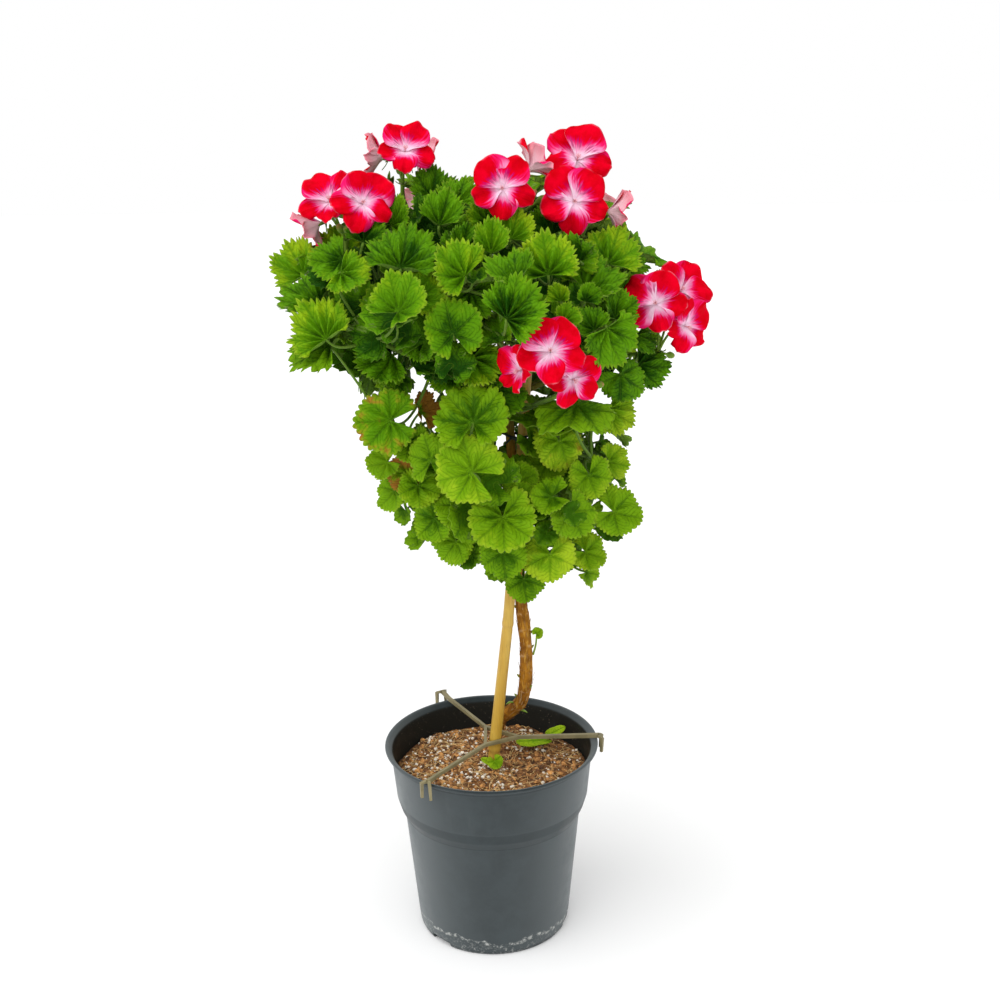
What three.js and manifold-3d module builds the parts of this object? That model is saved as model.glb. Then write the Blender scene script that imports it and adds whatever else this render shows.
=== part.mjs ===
// Regal pelargonium grown as a standard, in its container pot.
// Millimetres, +Z up, origin at the middle of the pot's flat underside.
// The plant stands in soil, tied to a bamboo cane that a three-armed clip holds at the pot's rim.
import * as THREE from 'three';
import { mergeVertices } from 'three/addons/utils/BufferGeometryUtils.js';
import Module from 'manifold-3d';

const wasm = await Module();
wasm.setup();

// Driving dimensions
const CLEARANCE = 0.3; // air between neighbouring pieces
const POT_SEGMENTS = 28;
const POT_LIP_RADIUS = 95;
const POT_HEIGHT = 176.7;
const POT_FOOT_RADIUS = 66.2;
const POT_FLOOR = 3;
const DRAIN_HOLES = { count: 4, ring: 44, radius: 5 };
const FOOT_NOTCHES = { turns: [225, 345, 105], width: 22, height: 6, depth: 4.5 };
const SOIL_LEVEL = 150;
const BLADE_THICKNESS = 0.8;
const PETAL_THICKNESS = 0.7;
const PETIOLE_RADIUS = 1.1;
const PETIOLE_FOOT = 4; // length of its foot on the blade's underside
const TIDY_TOLERANCE = 0.1; // detail finer than this is closed up after joining

// The eye that the crown's front is set out from: a place seen at px, py in a square frame of
// 1000 by 1000 and lying at depth y goes where that line of sight meets the plane y.
const EYE = { x: 10.9, y: -1171.2, z: 769.5, pitch: 17.455, roll: -0.869, focal: 1450, middle: 500 };

// Pot outline, radius and height, from the underside's middle round to the floor's middle
const POT_OUTLINE = [
  [0, 0], [POT_FOOT_RADIUS, 0], [67.8, 3], [68.7, 9.3], [78.6, 111.8], [82.6, 119.5],
  [85.6, 129.5], [89.4, 168.5], [90.3, 171.6], [94.6, 173.8], [POT_LIP_RADIUS, 175.5],
  [94.2, POT_HEIGHT], [92, 176.2], [88.6, 172.5], [87.6, 167], [84, 129], [80.8, 120],
  [76.9, 112], [67, 11], [60, POT_FLOOR], [0, POT_FLOOR],
];

// Soil outline inside the pot, and the rings of its uneven top
const SOIL_WALL = [
  [59.6, POT_FLOOR + CLEARANCE], [66.5, 11.2], [76.4, 112.1], [80.3, 120.2], [83.5, 129.2], [85.3, 148],
];
const SOIL_RINGS = [68, 44, 20];

// Middle lines, from bottom to top, and radius at each point
const CANE_LINE = [
  [-9, 1.5, 22], [-1, 0.5, 120], [3.3, 0, 176], [15.6, 0, 284], [16, 0, 288], [16.4, 0, 292],
  [29.6, 0, 446], [29.9, 0, 450], [30.2, 0, 454], [36.5, 0, 525],
];
const CANE_RADII = [5.5, 5.4, 5.2, 4.7, 5.2, 4.7, 4.1, 4.7, 4, 3.7];
const STEM_LINE = [
  [-1, 40, 92], [2, 38, 150], [8, 31, 180], [20, 21, 197], [28.4, 13, 211], [31.8, 7.5, 238],
  [31.6, 6, 266], [29.6, 6, 290], [27.6, 7.5, 310], [25.5, 10.5, 345], [23, 12, 395],
  [20.5, 9.5, 450], [18, 8, 488], [14, 7, 516],
];
const STEM_RADII = [6, 5.6, 5.3, 5.9, 5.6, 5.9, 5.3, 5.7, 5.2, 4.9, 4.5, 4.1, 3.7, 3.2];

// Sprouts: a thin one on the stem and two seedlings in the soil, each with the line of its stalk
// and its leaflets, which stand at a share of the line and keep their own look
const SPROUTS = {
  stem_sprout: {
    line: [[38, 6.4, 256], [40.4, 5, 266], [41.2, 3.6, 277]],
    radius: 0.9,
    leaflets: [
      { kind: 'round', at: 1, face: [20, 30], tip: 60, size: 11, cup: 0.4 },
    ],
  },
  seedling_left: {
    line: [[4, -10.5, 143], [3.6, -10.5, 154], [2.6, -10.5, 161]],
    radius: 1,
    leaflets: [
      { kind: 'round', at: 1, face: [6, 44], tip: 160, size: 14, cup: 0.1 },
      { kind: 'narrow', at: 0.8, face: [-20, 50], tip: -80, size: 17, cup: 0.2 },
    ],
  },
  seedling_right: {
    line: [[50, 38, 143], [50.6, 37, 154], [52, 36, 163]],
    radius: 1,
    leaflets: [
      { kind: 'narrow', at: 0.72, face: [0, 76], tip: -96, size: 36, cup: 0.05 },
      { kind: 'narrow', at: 1, face: [24, 58], tip: 80, size: 23, cup: 0.12 },
    ],
  },
};

// Clip: three arms from a triangle round the cane, each ending in two prongs outside the rim
const CLIP_HUB = [[-5.2, 21.5], [-5.4, -13], [24, 1]];
const CLIP_LEVEL = 178.7;
const CLIP_ARMS = [
  { turn: 1, from: 2, over: 178.9, prong: 165 },
  { turn: 119, from: 0, over: 186, prong: 171 },
  { turn: 236, from: 1, over: 178.9, prong: 164 },
];

// Tie: a loop round stem and cane with a pointed end standing out to the right
const TIE_HEIGHT = 456;
const TIE_RADIUS = 1.1;

// Shoots: where each leaves the stem, and its middle line's bend and end
const SHOOTS = {
  upper_a: { from: 512, bend: [-32, 2, 586], end: [-61, 4, 648] },
  upper_b: { from: 500, bend: [-55, -22, 552], end: [-97, -34, 596] },
  upper_c: { from: 514, bend: [10, -22, 585], end: [20, -38, 636] },
  upper_d: { from: 506, bend: [48, -8, 572], end: [76, -20, 618] },
  upper_e: { from: 486, bend: [72, 18, 512], end: [124, -22, 530] },
  upper_f: { from: 474, bend: [36, -52, 494], end: [54, -92, 512] },
  upper_g: { from: 504, bend: [-30, 48, 560], end: [-62, 84, 588] },
  upper_h: { from: 496, bend: [46, 56, 552], end: [72, 92, 582] },
  upper_i: { from: 492, bend: [-46, -48, 530], end: [-86, -74, 556] },
  upper_j: { from: 508, bend: [-16, -52, 560], end: [-22, -88, 598] },
  upper_k: { from: 480, bend: [-56, 28, 520], end: [-112, 44, 548] },
  upper_l: { from: 482, bend: [74, 34, 518], end: [118, 54, 548] },
  upper_m: { from: 470, bend: [14, 66, 512], end: [8, 116, 544] },
  lower_a: { from: 424, bend: [-26, -22, 434], end: [-66, -38, 450] },
  lower_b: { from: 404, bend: [2, -38, 414], end: [-8, -72, 436] },
  lower_c: { from: 414, bend: [58, 10, 426], end: [86, -30, 446] },
  lower_d: { from: 340, bend: [44, -26, 358], end: [22, -58, 376] },
  lower_e: { from: 352, bend: [56, -6, 366], end: [78, -12, 388] },
  lower_f: { from: 390, bend: [-16, 38, 408], end: [-40, 70, 432] },
  lower_g: { from: 396, bend: [50, 46, 410], end: [68, 78, 432] },
  lower_h: { from: 362, bend: [-6, -2, 376], end: [-34, -8, 398] },
  lower_i: { from: 346, bend: [26, 44, 364], end: [24, 70, 386] },
};
const SHOOT_RADII = [3.2, 2.6, 2.1, 1.8];

// Leaves of the front: seen [px, py] is the blade's middle, depth is y, face [turn, lift] is where
// the upper side looks, tip is the turn of the tip from upright as seen from the face, size is the
// width. A fan leaf is sharply toothed, a round one has a sinus and shallow teeth.
const FRONT_LEAVES = [
  { kind: 'fan', seen: [434, 186], depth: -10, face: [10, 40], tip: 10, size: 38, cup: 0.4 },
  { kind: 'fan', seen: [401, 214], depth: -50, face: [-25, 30], tip: 30, size: 38, cup: 0.6 },
  { kind: 'fan', seen: [444, 212], depth: -60, face: [5, 40], tip: 20, size: 42, cup: 0.3, fold: 0.7 },
  { kind: 'fan', seen: [404, 253], depth: -94, face: [5, 50], tip: 12, size: 52, cup: 0.35 },
  { kind: 'fan', seen: [450, 266], depth: -110, face: [15, 30], tip: -50, size: 44, cup: 0.4 },
  { kind: 'fan', seen: [464, 240], depth: -82, face: [25, 25], tip: 10, size: 34, cup: 0.5 },
  { kind: 'fan', seen: [492, 240], depth: -84, face: [0, 38], tip: 5, size: 38, cup: 0.3, fold: 0.9 },
  { kind: 'fan', seen: [504, 275], depth: -116, face: [-5, 62], tip: -50, size: 42, cup: 0.4, fold: 0.3 },
  { kind: 'fan', seen: [546, 256], depth: -98, face: [-8, 22], tip: -8, size: 48, cup: 0.4 },
  { kind: 'fan', seen: [520, 303], depth: -124, face: [-15, 38], tip: 35, size: 52, cup: 0.5 },
  { kind: 'fan', seen: [560, 292], depth: -108, face: [-20, 20], tip: -5, size: 22, cup: 0.8 },
  { kind: 'fan', seen: [586, 292], depth: -100, face: [25, 20], tip: 15, size: 24, cup: 0.8 },
  { kind: 'fan', seen: [568, 314], depth: -114, face: [10, 40], tip: 60, size: 24, cup: 0.7 },
  { kind: 'fan', seen: [612, 250], depth: -40, face: [15, 42], tip: 25, size: 48, cup: 0.3 },
  { kind: 'fan', seen: [634, 262], depth: -10, face: [30, 40], tip: 75, size: 30, cup: 0.3 },
  { kind: 'fan', seen: [600, 284], depth: -76, face: [10, 62], tip: 60, size: 50, cup: 0.4 },
  { kind: 'fan', seen: [616, 306], depth: -84, face: [25, 24], tip: 15, size: 34, cup: 0.4, fold: 0.4 },
  { kind: 'fan', seen: [588, 322], depth: -106, face: [0, 35], tip: -30, size: 28, cup: 0.6 },
  { kind: 'fan', seen: [606, 340], depth: -98, face: [20, 30], tip: 150, size: 46, cup: 0.2 },
  { kind: 'fan', seen: [643, 344], depth: -42, face: [50, 25], tip: 160, size: 30, cup: 0.3 },
  { kind: 'fan', seen: [652, 368], depth: -38, face: [25, 40], tip: 112, size: 40, cup: 0.2 },
  { kind: 'round', seen: [624, 376], depth: -66, face: [20, 40], tip: 130, size: 42, cup: -0.2 },
  { kind: 'round', seen: [572, 404], depth: -92, face: [0, 72], tip: 175, size: 62, cup: -0.25 },
  { kind: 'fan', seen: [620, 416], depth: -34, face: [35, 18], tip: 130, size: 38, cup: 0.1 },
  { kind: 'fan', seen: [481, 370], depth: -84, face: [10, 32], tip: 150, size: 38, cup: 0.2 },
  { kind: 'round', seen: [498, 393], depth: -76, face: [0, 70], tip: 150, size: 46, cup: -0.2 },
  { kind: 'round', seen: [452, 330], depth: -114, face: [5, 24], tip: -12, size: 48, cup: 0.4 },
  { kind: 'round', seen: [401, 308], depth: -122, face: [-8, 42], tip: 30, size: 54, cup: 0.75 },
  { kind: 'fan', seen: [318, 325], depth: -86, face: [-20, 34], tip: -40, size: 50, cup: 0.3 },
  { kind: 'fan', seen: [311, 345], depth: -76, face: [-10, 76], tip: -95, size: 52, cup: -0.15 },
  { kind: 'fan', seen: [304, 299], depth: -56, face: [-20, 56], tip: -80, size: 50, cup: 0.35 },
  { kind: 'fan', seen: [300, 257], depth: -26, face: [-30, 38], tip: -45, size: 46, cup: 0.4 },
  { kind: 'fan', seen: [328, 264], depth: -74, face: [-10, 46], tip: -110, size: 40, cup: 0.3 },
  { kind: 'fan', seen: [356, 276], depth: -94, face: [5, 50], tip: 125, size: 36, cup: 0.3 },
  { kind: 'fan', seen: [376, 362], depth: -70, face: [-10, 36], tip: -118, size: 46, cup: 0.15 },
  { kind: 'fan', seen: [429, 347], depth: -76, face: [10, 24], tip: 140, size: 34, cup: 0.3 },
  { kind: 'fan', seen: [444, 380], depth: -58, face: [-10, 30], tip: -150, size: 34, cup: 0.3 },
  { kind: 'fan', seen: [342, 246], depth: -16, face: [-15, 34], tip: -10, size: 42, cup: 0.5 },
  { kind: 'fan', seen: [458, 196], depth: -18, face: [10, 44], tip: 25, size: 34, cup: 0.5 },
  { kind: 'fan', seen: [477, 214], depth: -56, face: [-10, 38], tip: -30, size: 30, cup: 0.6 },
  { kind: 'fan', seen: [514, 228], depth: -64, face: [10, 42], tip: 20, size: 36, cup: 0.5 },
  { kind: 'fan', seen: [546, 222], depth: -36, face: [-10, 38], tip: -20, size: 38, cup: 0.5 },
  { kind: 'fan', seen: [578, 266], depth: -66, face: [20, 26], tip: 20, size: 38, cup: 0.5 },
  { kind: 'fan', seen: [372, 232], depth: -60, face: [-10, 30], tip: 20, size: 34, cup: 0.5 },
  { kind: 'fan', seen: [424, 290], depth: -96, face: [10, 40], tip: 60, size: 36, cup: 0.4 },
  { kind: 'fan', seen: [476, 305], depth: -100, face: [10, 30], tip: 160, size: 36, cup: 0.2 },
  { kind: 'round', seen: [570, 442], depth: -52, face: [5, 24], tip: 165, size: 44, cup: -0.15 },
  { kind: 'round', seen: [611, 462], depth: -18, face: [40, 22], tip: 120, size: 34, cup: 0.4 },
  { kind: 'round', seen: [590, 478], depth: -48, face: [15, 20], tip: 170, size: 38, cup: 0.2 },
  { kind: 'round', seen: [546, 466], depth: -28, face: [-15, 18], tip: -160, size: 36, cup: 0.2 },
  { kind: 'round', seen: [549, 497], depth: -76, face: [-10, 44], tip: -100, size: 34, cup: 0.3 },
  { kind: 'round', seen: [567, 514], depth: -62, face: [15, 18], tip: 150, size: 42, cup: 0.2 },
  { kind: 'round', seen: [617, 513], depth: -38, face: [10, 34], tip: 112, size: 44, cup: 0.2 },
  { kind: 'round', seen: [550, 558], depth: -66, face: [0, 16], tip: 180, size: 44, cup: -0.15 },
  { kind: 'round', seen: [588, 553], depth: -36, face: [20, 34], tip: 120, size: 34, cup: 0.2 },
  { kind: 'round', seen: [588, 572], depth: -26, face: [60, 12], tip: 120, size: 28, cup: 0.2 },
  { kind: 'round', seen: [503, 522], depth: -92, face: [0, 34], tip: 178, size: 58, cup: 0.35 },
  { kind: 'round', seen: [503, 556], depth: -72, face: [-5, 14], tip: 172, size: 40, cup: 0.1 },
  { kind: 'round', seen: [524, 582], depth: -28, face: [5, 8], tip: 175, size: 36, cup: 0.2 },
  { kind: 'round', seen: [468, 470], depth: -106, face: [-5, 26], tip: -62, size: 56, cup: 0.25 },
  { kind: 'round', seen: [470, 422], depth: -86, face: [0, 36], tip: -14, size: 60, cup: 0.3 },
  { kind: 'round', seen: [386, 412], depth: -58, face: [-14, 26], tip: -100, size: 52, cup: 0.2 },
  { kind: 'round', seen: [421, 409], depth: -34, face: [62, 20], tip: 35, size: 36, cup: 0.5 },
  { kind: 'round', seen: [409, 444], depth: -60, face: [0, 22], tip: -170, size: 34, cup: 0.2 },
  { kind: 'round', seen: [385, 463], depth: -40, face: [-30, 30], tip: -115, size: 32, cup: 0.3 },
  { kind: 'round', seen: [404, 471], depth: -42, face: [-10, 22], tip: -90, size: 30, cup: 0.2 },
  { kind: 'round', seen: [429, 459], depth: -72, face: [-38, 20], tip: -12, size: 40, cup: 0.2 },
  { kind: 'round', seen: [421, 489], depth: -50, face: [0, 30], tip: -170, size: 36, cup: 0.2 },
  { kind: 'round', seen: [393, 493], depth: -34, face: [-40, 14], tip: -150, size: 34, cup: 0.3 },
  { kind: 'round', seen: [433, 521], depth: -50, face: [-25, 16], tip: -145, size: 38, cup: 0.2 },
  { kind: 'round', seen: [454, 544], depth: -50, face: [-20, 12], tip: -150, size: 36, cup: 0.2 },
  { kind: 'round', seen: [458, 509], depth: -58, face: [0, 20], tip: -155, size: 36, cup: 0.1 },
  { kind: 'round', seen: [520, 479], depth: -46, face: [0, 12], tip: 0, size: 32, cup: 0.3 },
  { kind: 'round', seen: [523, 498], depth: -72, face: [10, 36], tip: 60, size: 28, cup: 0.2 },
];

// Leaves of the sides and the back stand on two rounded tiers, spread by the golden angle
const TIERS = [
  { kind: 'fan', count: 58, middle: [-4, 2, 580], reach: [146, 130, 86], size: [52, 70], seed: 11 },
  { kind: 'round', count: 32, middle: [24, 2, 424], reach: [102, 90, 82], size: [44, 60], seed: 47 },
];

// Flower heads: the middle of the umbel, its shoot, its blooms and its buds. An open bloom is a
// shallow dish, one with a lower open share a deeper trumpet.
const HEADS = {
  a: {
    shoot: 'upper_a', umbel: { seen: [403, 184], depth: 2 },
    blooms: [
      { seen: [405, 152], depth: -16, face: [10, 40], tip: 6, size: 48, open: 0.9 },
      { seen: [386, 157], depth: -4, face: [-94, 12], tip: -10, size: 46, open: 0.56 },
      { seen: [415, 160], depth: 12, face: [98, -16], tip: 20, size: 44, open: 0.62 },
    ],
    buds: [{ seen: [398, 165], depth: 12 }],
  },
  b: {
    shoot: 'upper_b', umbel: { seen: [346, 240], depth: -34 },
    blooms: [
      { seen: [362, 204], depth: -58, face: [16, 26], tip: 20, size: 50, open: 0.9 },
      { seen: [330, 202], depth: -46, face: [-16, 42], tip: -8, size: 50, open: 0.86 },
      { seen: [322, 222], depth: -36, face: [-98, -24], tip: -10, size: 46, open: 0.56 },
    ],
    buds: [{ seen: [347, 227], depth: -54 }, { seen: [338, 224], depth: -42 }],
  },
  c: {
    shoot: 'upper_c', umbel: { seen: [516, 217], depth: -36 },
    blooms: [
      { seen: [503, 189], depth: -66, face: [-6, 18], tip: 0, size: 50, open: 1 },
      { seen: [527, 172], depth: -38, face: [112, 40], tip: 0, size: 48, open: 0.58 },
    ],
    buds: [{ seen: [536, 190], depth: -46 }, { seen: [546, 196], depth: -40 }],
  },
  d: {
    shoot: 'upper_d', umbel: { seen: [582, 238], depth: -26 },
    blooms: [
      { seen: [577, 161], depth: -12, face: [6, 44], tip: -4, size: 58, open: 0.9 },
      { seen: [574, 202], depth: -54, face: [4, 18], tip: 4, size: 54, open: 1 },
      { seen: [606, 212], depth: -24, face: [98, -8], tip: 10, size: 50, open: 0.6 },
    ],
    buds: [{ seen: [590, 218], depth: -10 }],
  },
  e: {
    shoot: 'upper_e', umbel: { seen: [658, 352], depth: -22 },
    blooms: [
      { seen: [656, 304], depth: -44, face: [-14, 24], tip: -20, size: 52, open: 0.95 },
      { seen: [680, 292], depth: -14, face: [16, 40], tip: -6, size: 52, open: 0.8 },
      { seen: [684, 326], depth: -34, face: [36, 4], tip: 20, size: 48, open: 0.9 },
    ],
    buds: [{ seen: [651, 338], depth: -16 }, { seen: [674, 356], depth: -10 }],
  },
  f: {
    shoot: 'upper_f', umbel: { seen: [562, 392], depth: -104 },
    blooms: [
      { seen: [550, 352], depth: -134, face: [0, 30], tip: 0, size: 52, open: 1 },
      { seen: [523, 370], depth: -118, face: [-52, 6], tip: -20, size: 42, open: 0.7 },
      { seen: [572, 379], depth: -122, face: [22, 4], tip: 20, size: 44, open: 0.85 },
    ],
    buds: [{ seen: [604, 384], depth: -96 }, { seen: [594, 393], depth: -106 }],
  },
  g: {
    shoot: 'upper_g', umbel: { at: [-72, 104, 604] },
    blooms: [
      { at: [-92, 128, 622], face: [212, 26], tip: 8, size: 48, open: 0.9 },
      { at: [-56, 132, 628], face: [166, 34], tip: -12, size: 46, open: 0.8 },
    ],
    buds: [{ at: [-78, 116, 632] }],
  },
  h: {
    shoot: 'upper_h', umbel: { at: [82, 112, 596] },
    blooms: [
      { at: [66, 140, 614], face: [184, 30], tip: -6, size: 50, open: 0.95 },
      { at: [104, 128, 620], face: [140, 28], tip: 14, size: 46, open: 0.8 },
    ],
    buds: [{ at: [88, 122, 624] }],
  },
};

// Petals of a bloom: turn about its axis from its top, length and width as shares of the bloom's
// size, and how far the petal leans back from the axis. Each petal's one edge lies over the next.
const PETALS = [
  { turn: -35, long: 0.53, wide: 0.56, lean: 66 },
  { turn: 35, long: 0.53, wide: 0.56, lean: 70 },
  { turn: 107, long: 0.49, wide: 0.5, lean: 80 },
  { turn: 180, long: 0.48, wide: 0.5, lean: 84 },
  { turn: 253, long: 0.49, wide: 0.5, lean: 80 },
];
const PETAL_OUTLINE = [[-0.41, 0.7], [-0.31, 0.96], [0.29, 0.98], [0.41, 0.73]];
const PETAL_ROLL = 6;
const PETAL_NOTCH = 0.17;

const COLOURS = {
  pot: 0x4c575a, soil: 0x5b4030, clip: 0x7d7466, cane: 0xc9a04a, tie: 0x1d2a22, bark: 0xa1661f,
  leaf: 0x4f8a16, lower_leaf: 0x6a9a22, sprout: 0x7ba63a, petal: 0xe3102c, flower_green: 0x86a04a,
};

// Small helpers
const radians = (degrees) => (degrees * Math.PI) / 180;
const add = (a, b, k = 1) => [a[0] + b[0] * k, a[1] + b[1] * k, a[2] + b[2] * k];
const dot = (a, b) => a[0] * b[0] + a[1] * b[1] + a[2] * b[2];
const cross = (a, b) => [a[1] * b[2] - a[2] * b[1], a[2] * b[0] - a[0] * b[2], a[0] * b[1] - a[1] * b[0]];
const times = (a, k) => [a[0] * k, a[1] * k, a[2] * k];
const unit = (a) => times(a, 1 / Math.hypot(...a));
const distance = (a, b) => Math.hypot(a[0] - b[0], a[1] - b[1], a[2] - b[2]);
const mix = (a, b, t) => add(times(a, 1 - t), b, t);

// A number from 0 to 1 that depends on its seed alone
function chance(seed) {
  let t = Math.imul(seed + 1, 0x6d2b79f5);
  t = Math.imul(t ^ (t >>> 15), t | 1);
  t ^= t + Math.imul(t ^ (t >>> 7), t | 61);
  return ((t ^ (t >>> 14)) >>> 0) / 4294967296;
}

// The place at depth y that is seen at px, py
function sight(px, py, y) {
  const roll = radians(EYE.roll);
  const pitch = radians(EYE.pitch);
  const right = Math.cos(roll) * (px - EYE.middle) + Math.sin(roll) * (py - EYE.middle);
  const down = -Math.sin(roll) * (px - EYE.middle) + Math.cos(roll) * (py - EYE.middle);
  const ahead = Math.cos(pitch) * EYE.focal - Math.sin(pitch) * down;
  const rise = -Math.sin(pitch) * EYE.focal - Math.cos(pitch) * down;
  const reach = (y - EYE.y) / ahead;
  return [EYE.x + right * reach, y, EYE.z + rise * reach];
}

const placeOf = (item) => item.at ?? sight(item.seen[0], item.seen[1], item.depth);

// Axes of a blade: a across, b to the tip, n out of the upper side
function axesOf(face, tip) {
  const t = radians(tip);
  const lift = radians(face[1]);
  const turn = radians(face[0]);
  const pose = ([x, y, z]) => {
    const y1 = y * Math.cos(lift) + z * Math.sin(lift);
    const z1 = -y * Math.sin(lift) + z * Math.cos(lift);
    return [x * Math.cos(turn) - y1 * Math.sin(turn), x * Math.sin(turn) + y1 * Math.cos(turn), z1];
  };
  return {
    a: pose([Math.cos(t), 0, -Math.sin(t)]),
    b: pose([Math.sin(t), 0, Math.cos(t)]),
    n: pose([0, -1, 0]),
  };
}

// A solid from corners and triangles
function solid(corners, triangles) {
  const mesh = new wasm.Mesh({
    numProp: 3,
    vertProperties: new Float32Array(corners.flat()),
    triVerts: new Uint32Array(triangles.flat()),
  });
  return new wasm.Manifold(mesh);
}

// A solid from a three.js geometry, with its shared corners merged
function solidFrom(geometry) {
  const bare = geometry.clone();
  bare.deleteAttribute('normal');
  bare.deleteAttribute('uv');
  const merged = mergeVertices(bare, 1e-4);
  const mesh = new wasm.Mesh({
    numProp: 3,
    vertProperties: new Float32Array(merged.attributes.position.array),
    triVerts: new Uint32Array(merged.index.array),
  });
  return new wasm.Manifold(mesh);
}

// Everything that touches becomes one body; loose scraps are dropped
function join(solids) {
  const bodies = wasm.Manifold.union(solids).simplify(TIDY_TOLERANCE).decompose();
  return bodies.reduce((best, body) => (body.volume() > best.volume() ? body : best));
}

// A closed tube with flat ends along a line of points, with a radius at each point;
// flat squeezes the section across its second axis
function tube(line, radii, sides, flat = 1, upright = [0.2, -0.9, 0.4]) {
  const corners = [];
  const triangles = [];
  let side = upright;
  line.forEach((point, i) => {
    const before = line[Math.max(i - 1, 0)];
    const after = line[Math.min(i + 1, line.length - 1)];
    const along = unit(add(after, before, -1));
    side = unit(add(side, along, -dot(side, along)));
    const other = cross(along, side);
    for (let k = 0; k < sides; k += 1) {
      const turn = ((k + 0.5) / sides) * 2 * Math.PI;
      const out = add(times(side, Math.cos(turn)), other, Math.sin(turn) * flat);
      corners.push(add(point, out, radii[i]));
    }
  });
  for (let i = 0; i + 1 < line.length; i += 1) {
    for (let k = 0; k < sides; k += 1) {
      const next = (k + 1) % sides;
      const low = i * sides;
      const high = low + sides;
      triangles.push([low + k, low + next, high + next], [low + k, high + next, high + k]);
    }
  }
  const last = (line.length - 1) * sides;
  for (let k = 1; k + 1 < sides; k += 1) {
    triangles.push([0, k + 1, k], [last, last + k, last + k + 1]);
  }
  return solid(corners, triangles);
}

// Points of a curve that leaves start towards bend and arrives at end from it
function curve(start, bend, end, steps) {
  return Array.from({ length: steps + 1 }, (_, i) => {
    const t = i / steps;
    return mix(mix(start, bend, t), mix(bend, end, t), t);
  });
}

// The point of a middle line at a height, with the line's radius there
function atHeight(line, radii, height) {
  const i = Math.max(1, line.findIndex((point) => point[2] >= height));
  const t = (height - line[i - 1][2]) / (line[i][2] - line[i - 1][2]);
  return { point: mix(line[i - 1], line[i], t), radius: radii[i - 1] + (radii[i] - radii[i - 1]) * t };
}

// The turn that carries one direction onto another, applied to a vector
function turned(from, onto, vector) {
  const axis = cross(from, onto);
  const along = dot(from, onto);
  return add(add(times(vector, along), cross(axis, vector)), axis, dot(axis, vector) / (1 + along));
}

// A thin blade: a fan of triangles from its root to its rim, alike on both sides. A closed rim runs
// all the way round its root. With a petiole line, a three-sided petiole grows out of the underside.
function blade(root, rim, thickness, closed = false, line = null) {
  const count = rim.length;
  const upper = [root, ...rim];
  const normals = upper.map(() => [0, 0, 0]);
  const spans = [];
  for (let i = 1; i < count + (closed ? 1 : 0); i += 1) spans.push([i, (i % count) + 1]);
  spans.forEach(([i, next]) => {
    const face = cross(add(upper[next], root, -1), add(upper[i], root, -1));
    [0, i, next].forEach((k) => {
      normals[k] = add(normals[k], face);
    });
  });
  const lower = upper.map((corner, i) => add(corner, unit(normals[i]), -thickness));
  const corners = [...upper, ...lower];
  const base = count + 1;
  const triangles = spans.map(([i, next]) => [0, next, i]);
  const edge = closed ? spans : [...spans, [count, 0], [0, 1]];
  edge.forEach(([i, next]) => triangles.push([i, next, base + next], [i, base + next, base + i]));
  if (line) addPetiole(corners, triangles, count, line);
  else spans.forEach(([i, next]) => triangles.push([base, base + i, base + next]));
  return solid(corners, triangles);
}

// Joins a petiole to the underside of an open blade. Its last ring lies in the underside's middle
// triangle: one corner is the lower root, the other two lie on the triangle's two long edges.
function addPetiole(corners, triangles, count, line) {
  const base = count + 1;
  const middle = base + Math.floor(count / 2);
  const root = corners[base];
  const inner = [middle, middle + 1].map((k) => add(root, unit(add(corners[k], root, -1)), PETIOLE_FOOT));
  const first = corners.push(...inner) - 2;
  const second = first + 1;
  for (let k = base + 1; k < base + count; k += 1) {
    if (k === middle - 1) triangles.push([base, k, first], [first, k, k + 1]);
    else if (k === middle) triangles.push([first, k, k + 1], [first, k + 1, second]);
    else if (k === middle + 1) triangles.push([second, k, k + 1], [base, second, k + 1]);
    else triangles.push([base, k, k + 1]);
  }
  const axis = unit(cross(add(inner[1], root, -1), add(inner[0], root, -1)));
  const away = unit(add(root, mix(inner[0], inner[1], 0.5), -1));
  const aside = times(cross(axis, away), Math.sin(Math.PI / 3));
  const outward = [away, add(times(away, -0.5), aside, -1), add(times(away, -0.5), aside)];
  let ring = [base, first, second];
  for (let k = line.length - 2; k >= 0; k -= 1) {
    const along = unit(add(line[k + 1], line[Math.max(k - 1, 0)], -1));
    const next = outward.map((out) => {
      return corners.push(add(line[k], turned(axis, along, out), PETIOLE_RADIUS)) - 1;
    });
    [0, 1, 2].forEach((i) => {
      const j = (i + 1) % 3;
      triangles.push([ring[i], ring[j], next[j]], [ring[i], next[j], next[i]]);
    });
    ring = next;
  }
  triangles.push(ring);
}

// Leaf forms: how far the rim runs round the petiole, its lobes, the depth of their notches, where
// the blade is seated on its middle, and how wide it is drawn
const LEAF_FORMS = {
  fan: { span: 106, lobes: 7, middle: 0.5, stretch: 0.16, notch: 0.1, seat: 0.3, wide: 1 },
  round: { span: 158, lobes: 7, middle: 0.49, stretch: 0.05, notch: 0.07, seat: 0.07, wide: 1 },
  narrow: { span: 150, lobes: 5, middle: 0.4, stretch: 0.4, notch: 0.02, seat: 0.3, wide: 0.4 },
};
const SMALL_LOBES = 5;
const SMALL_SIZE = 50;

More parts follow.
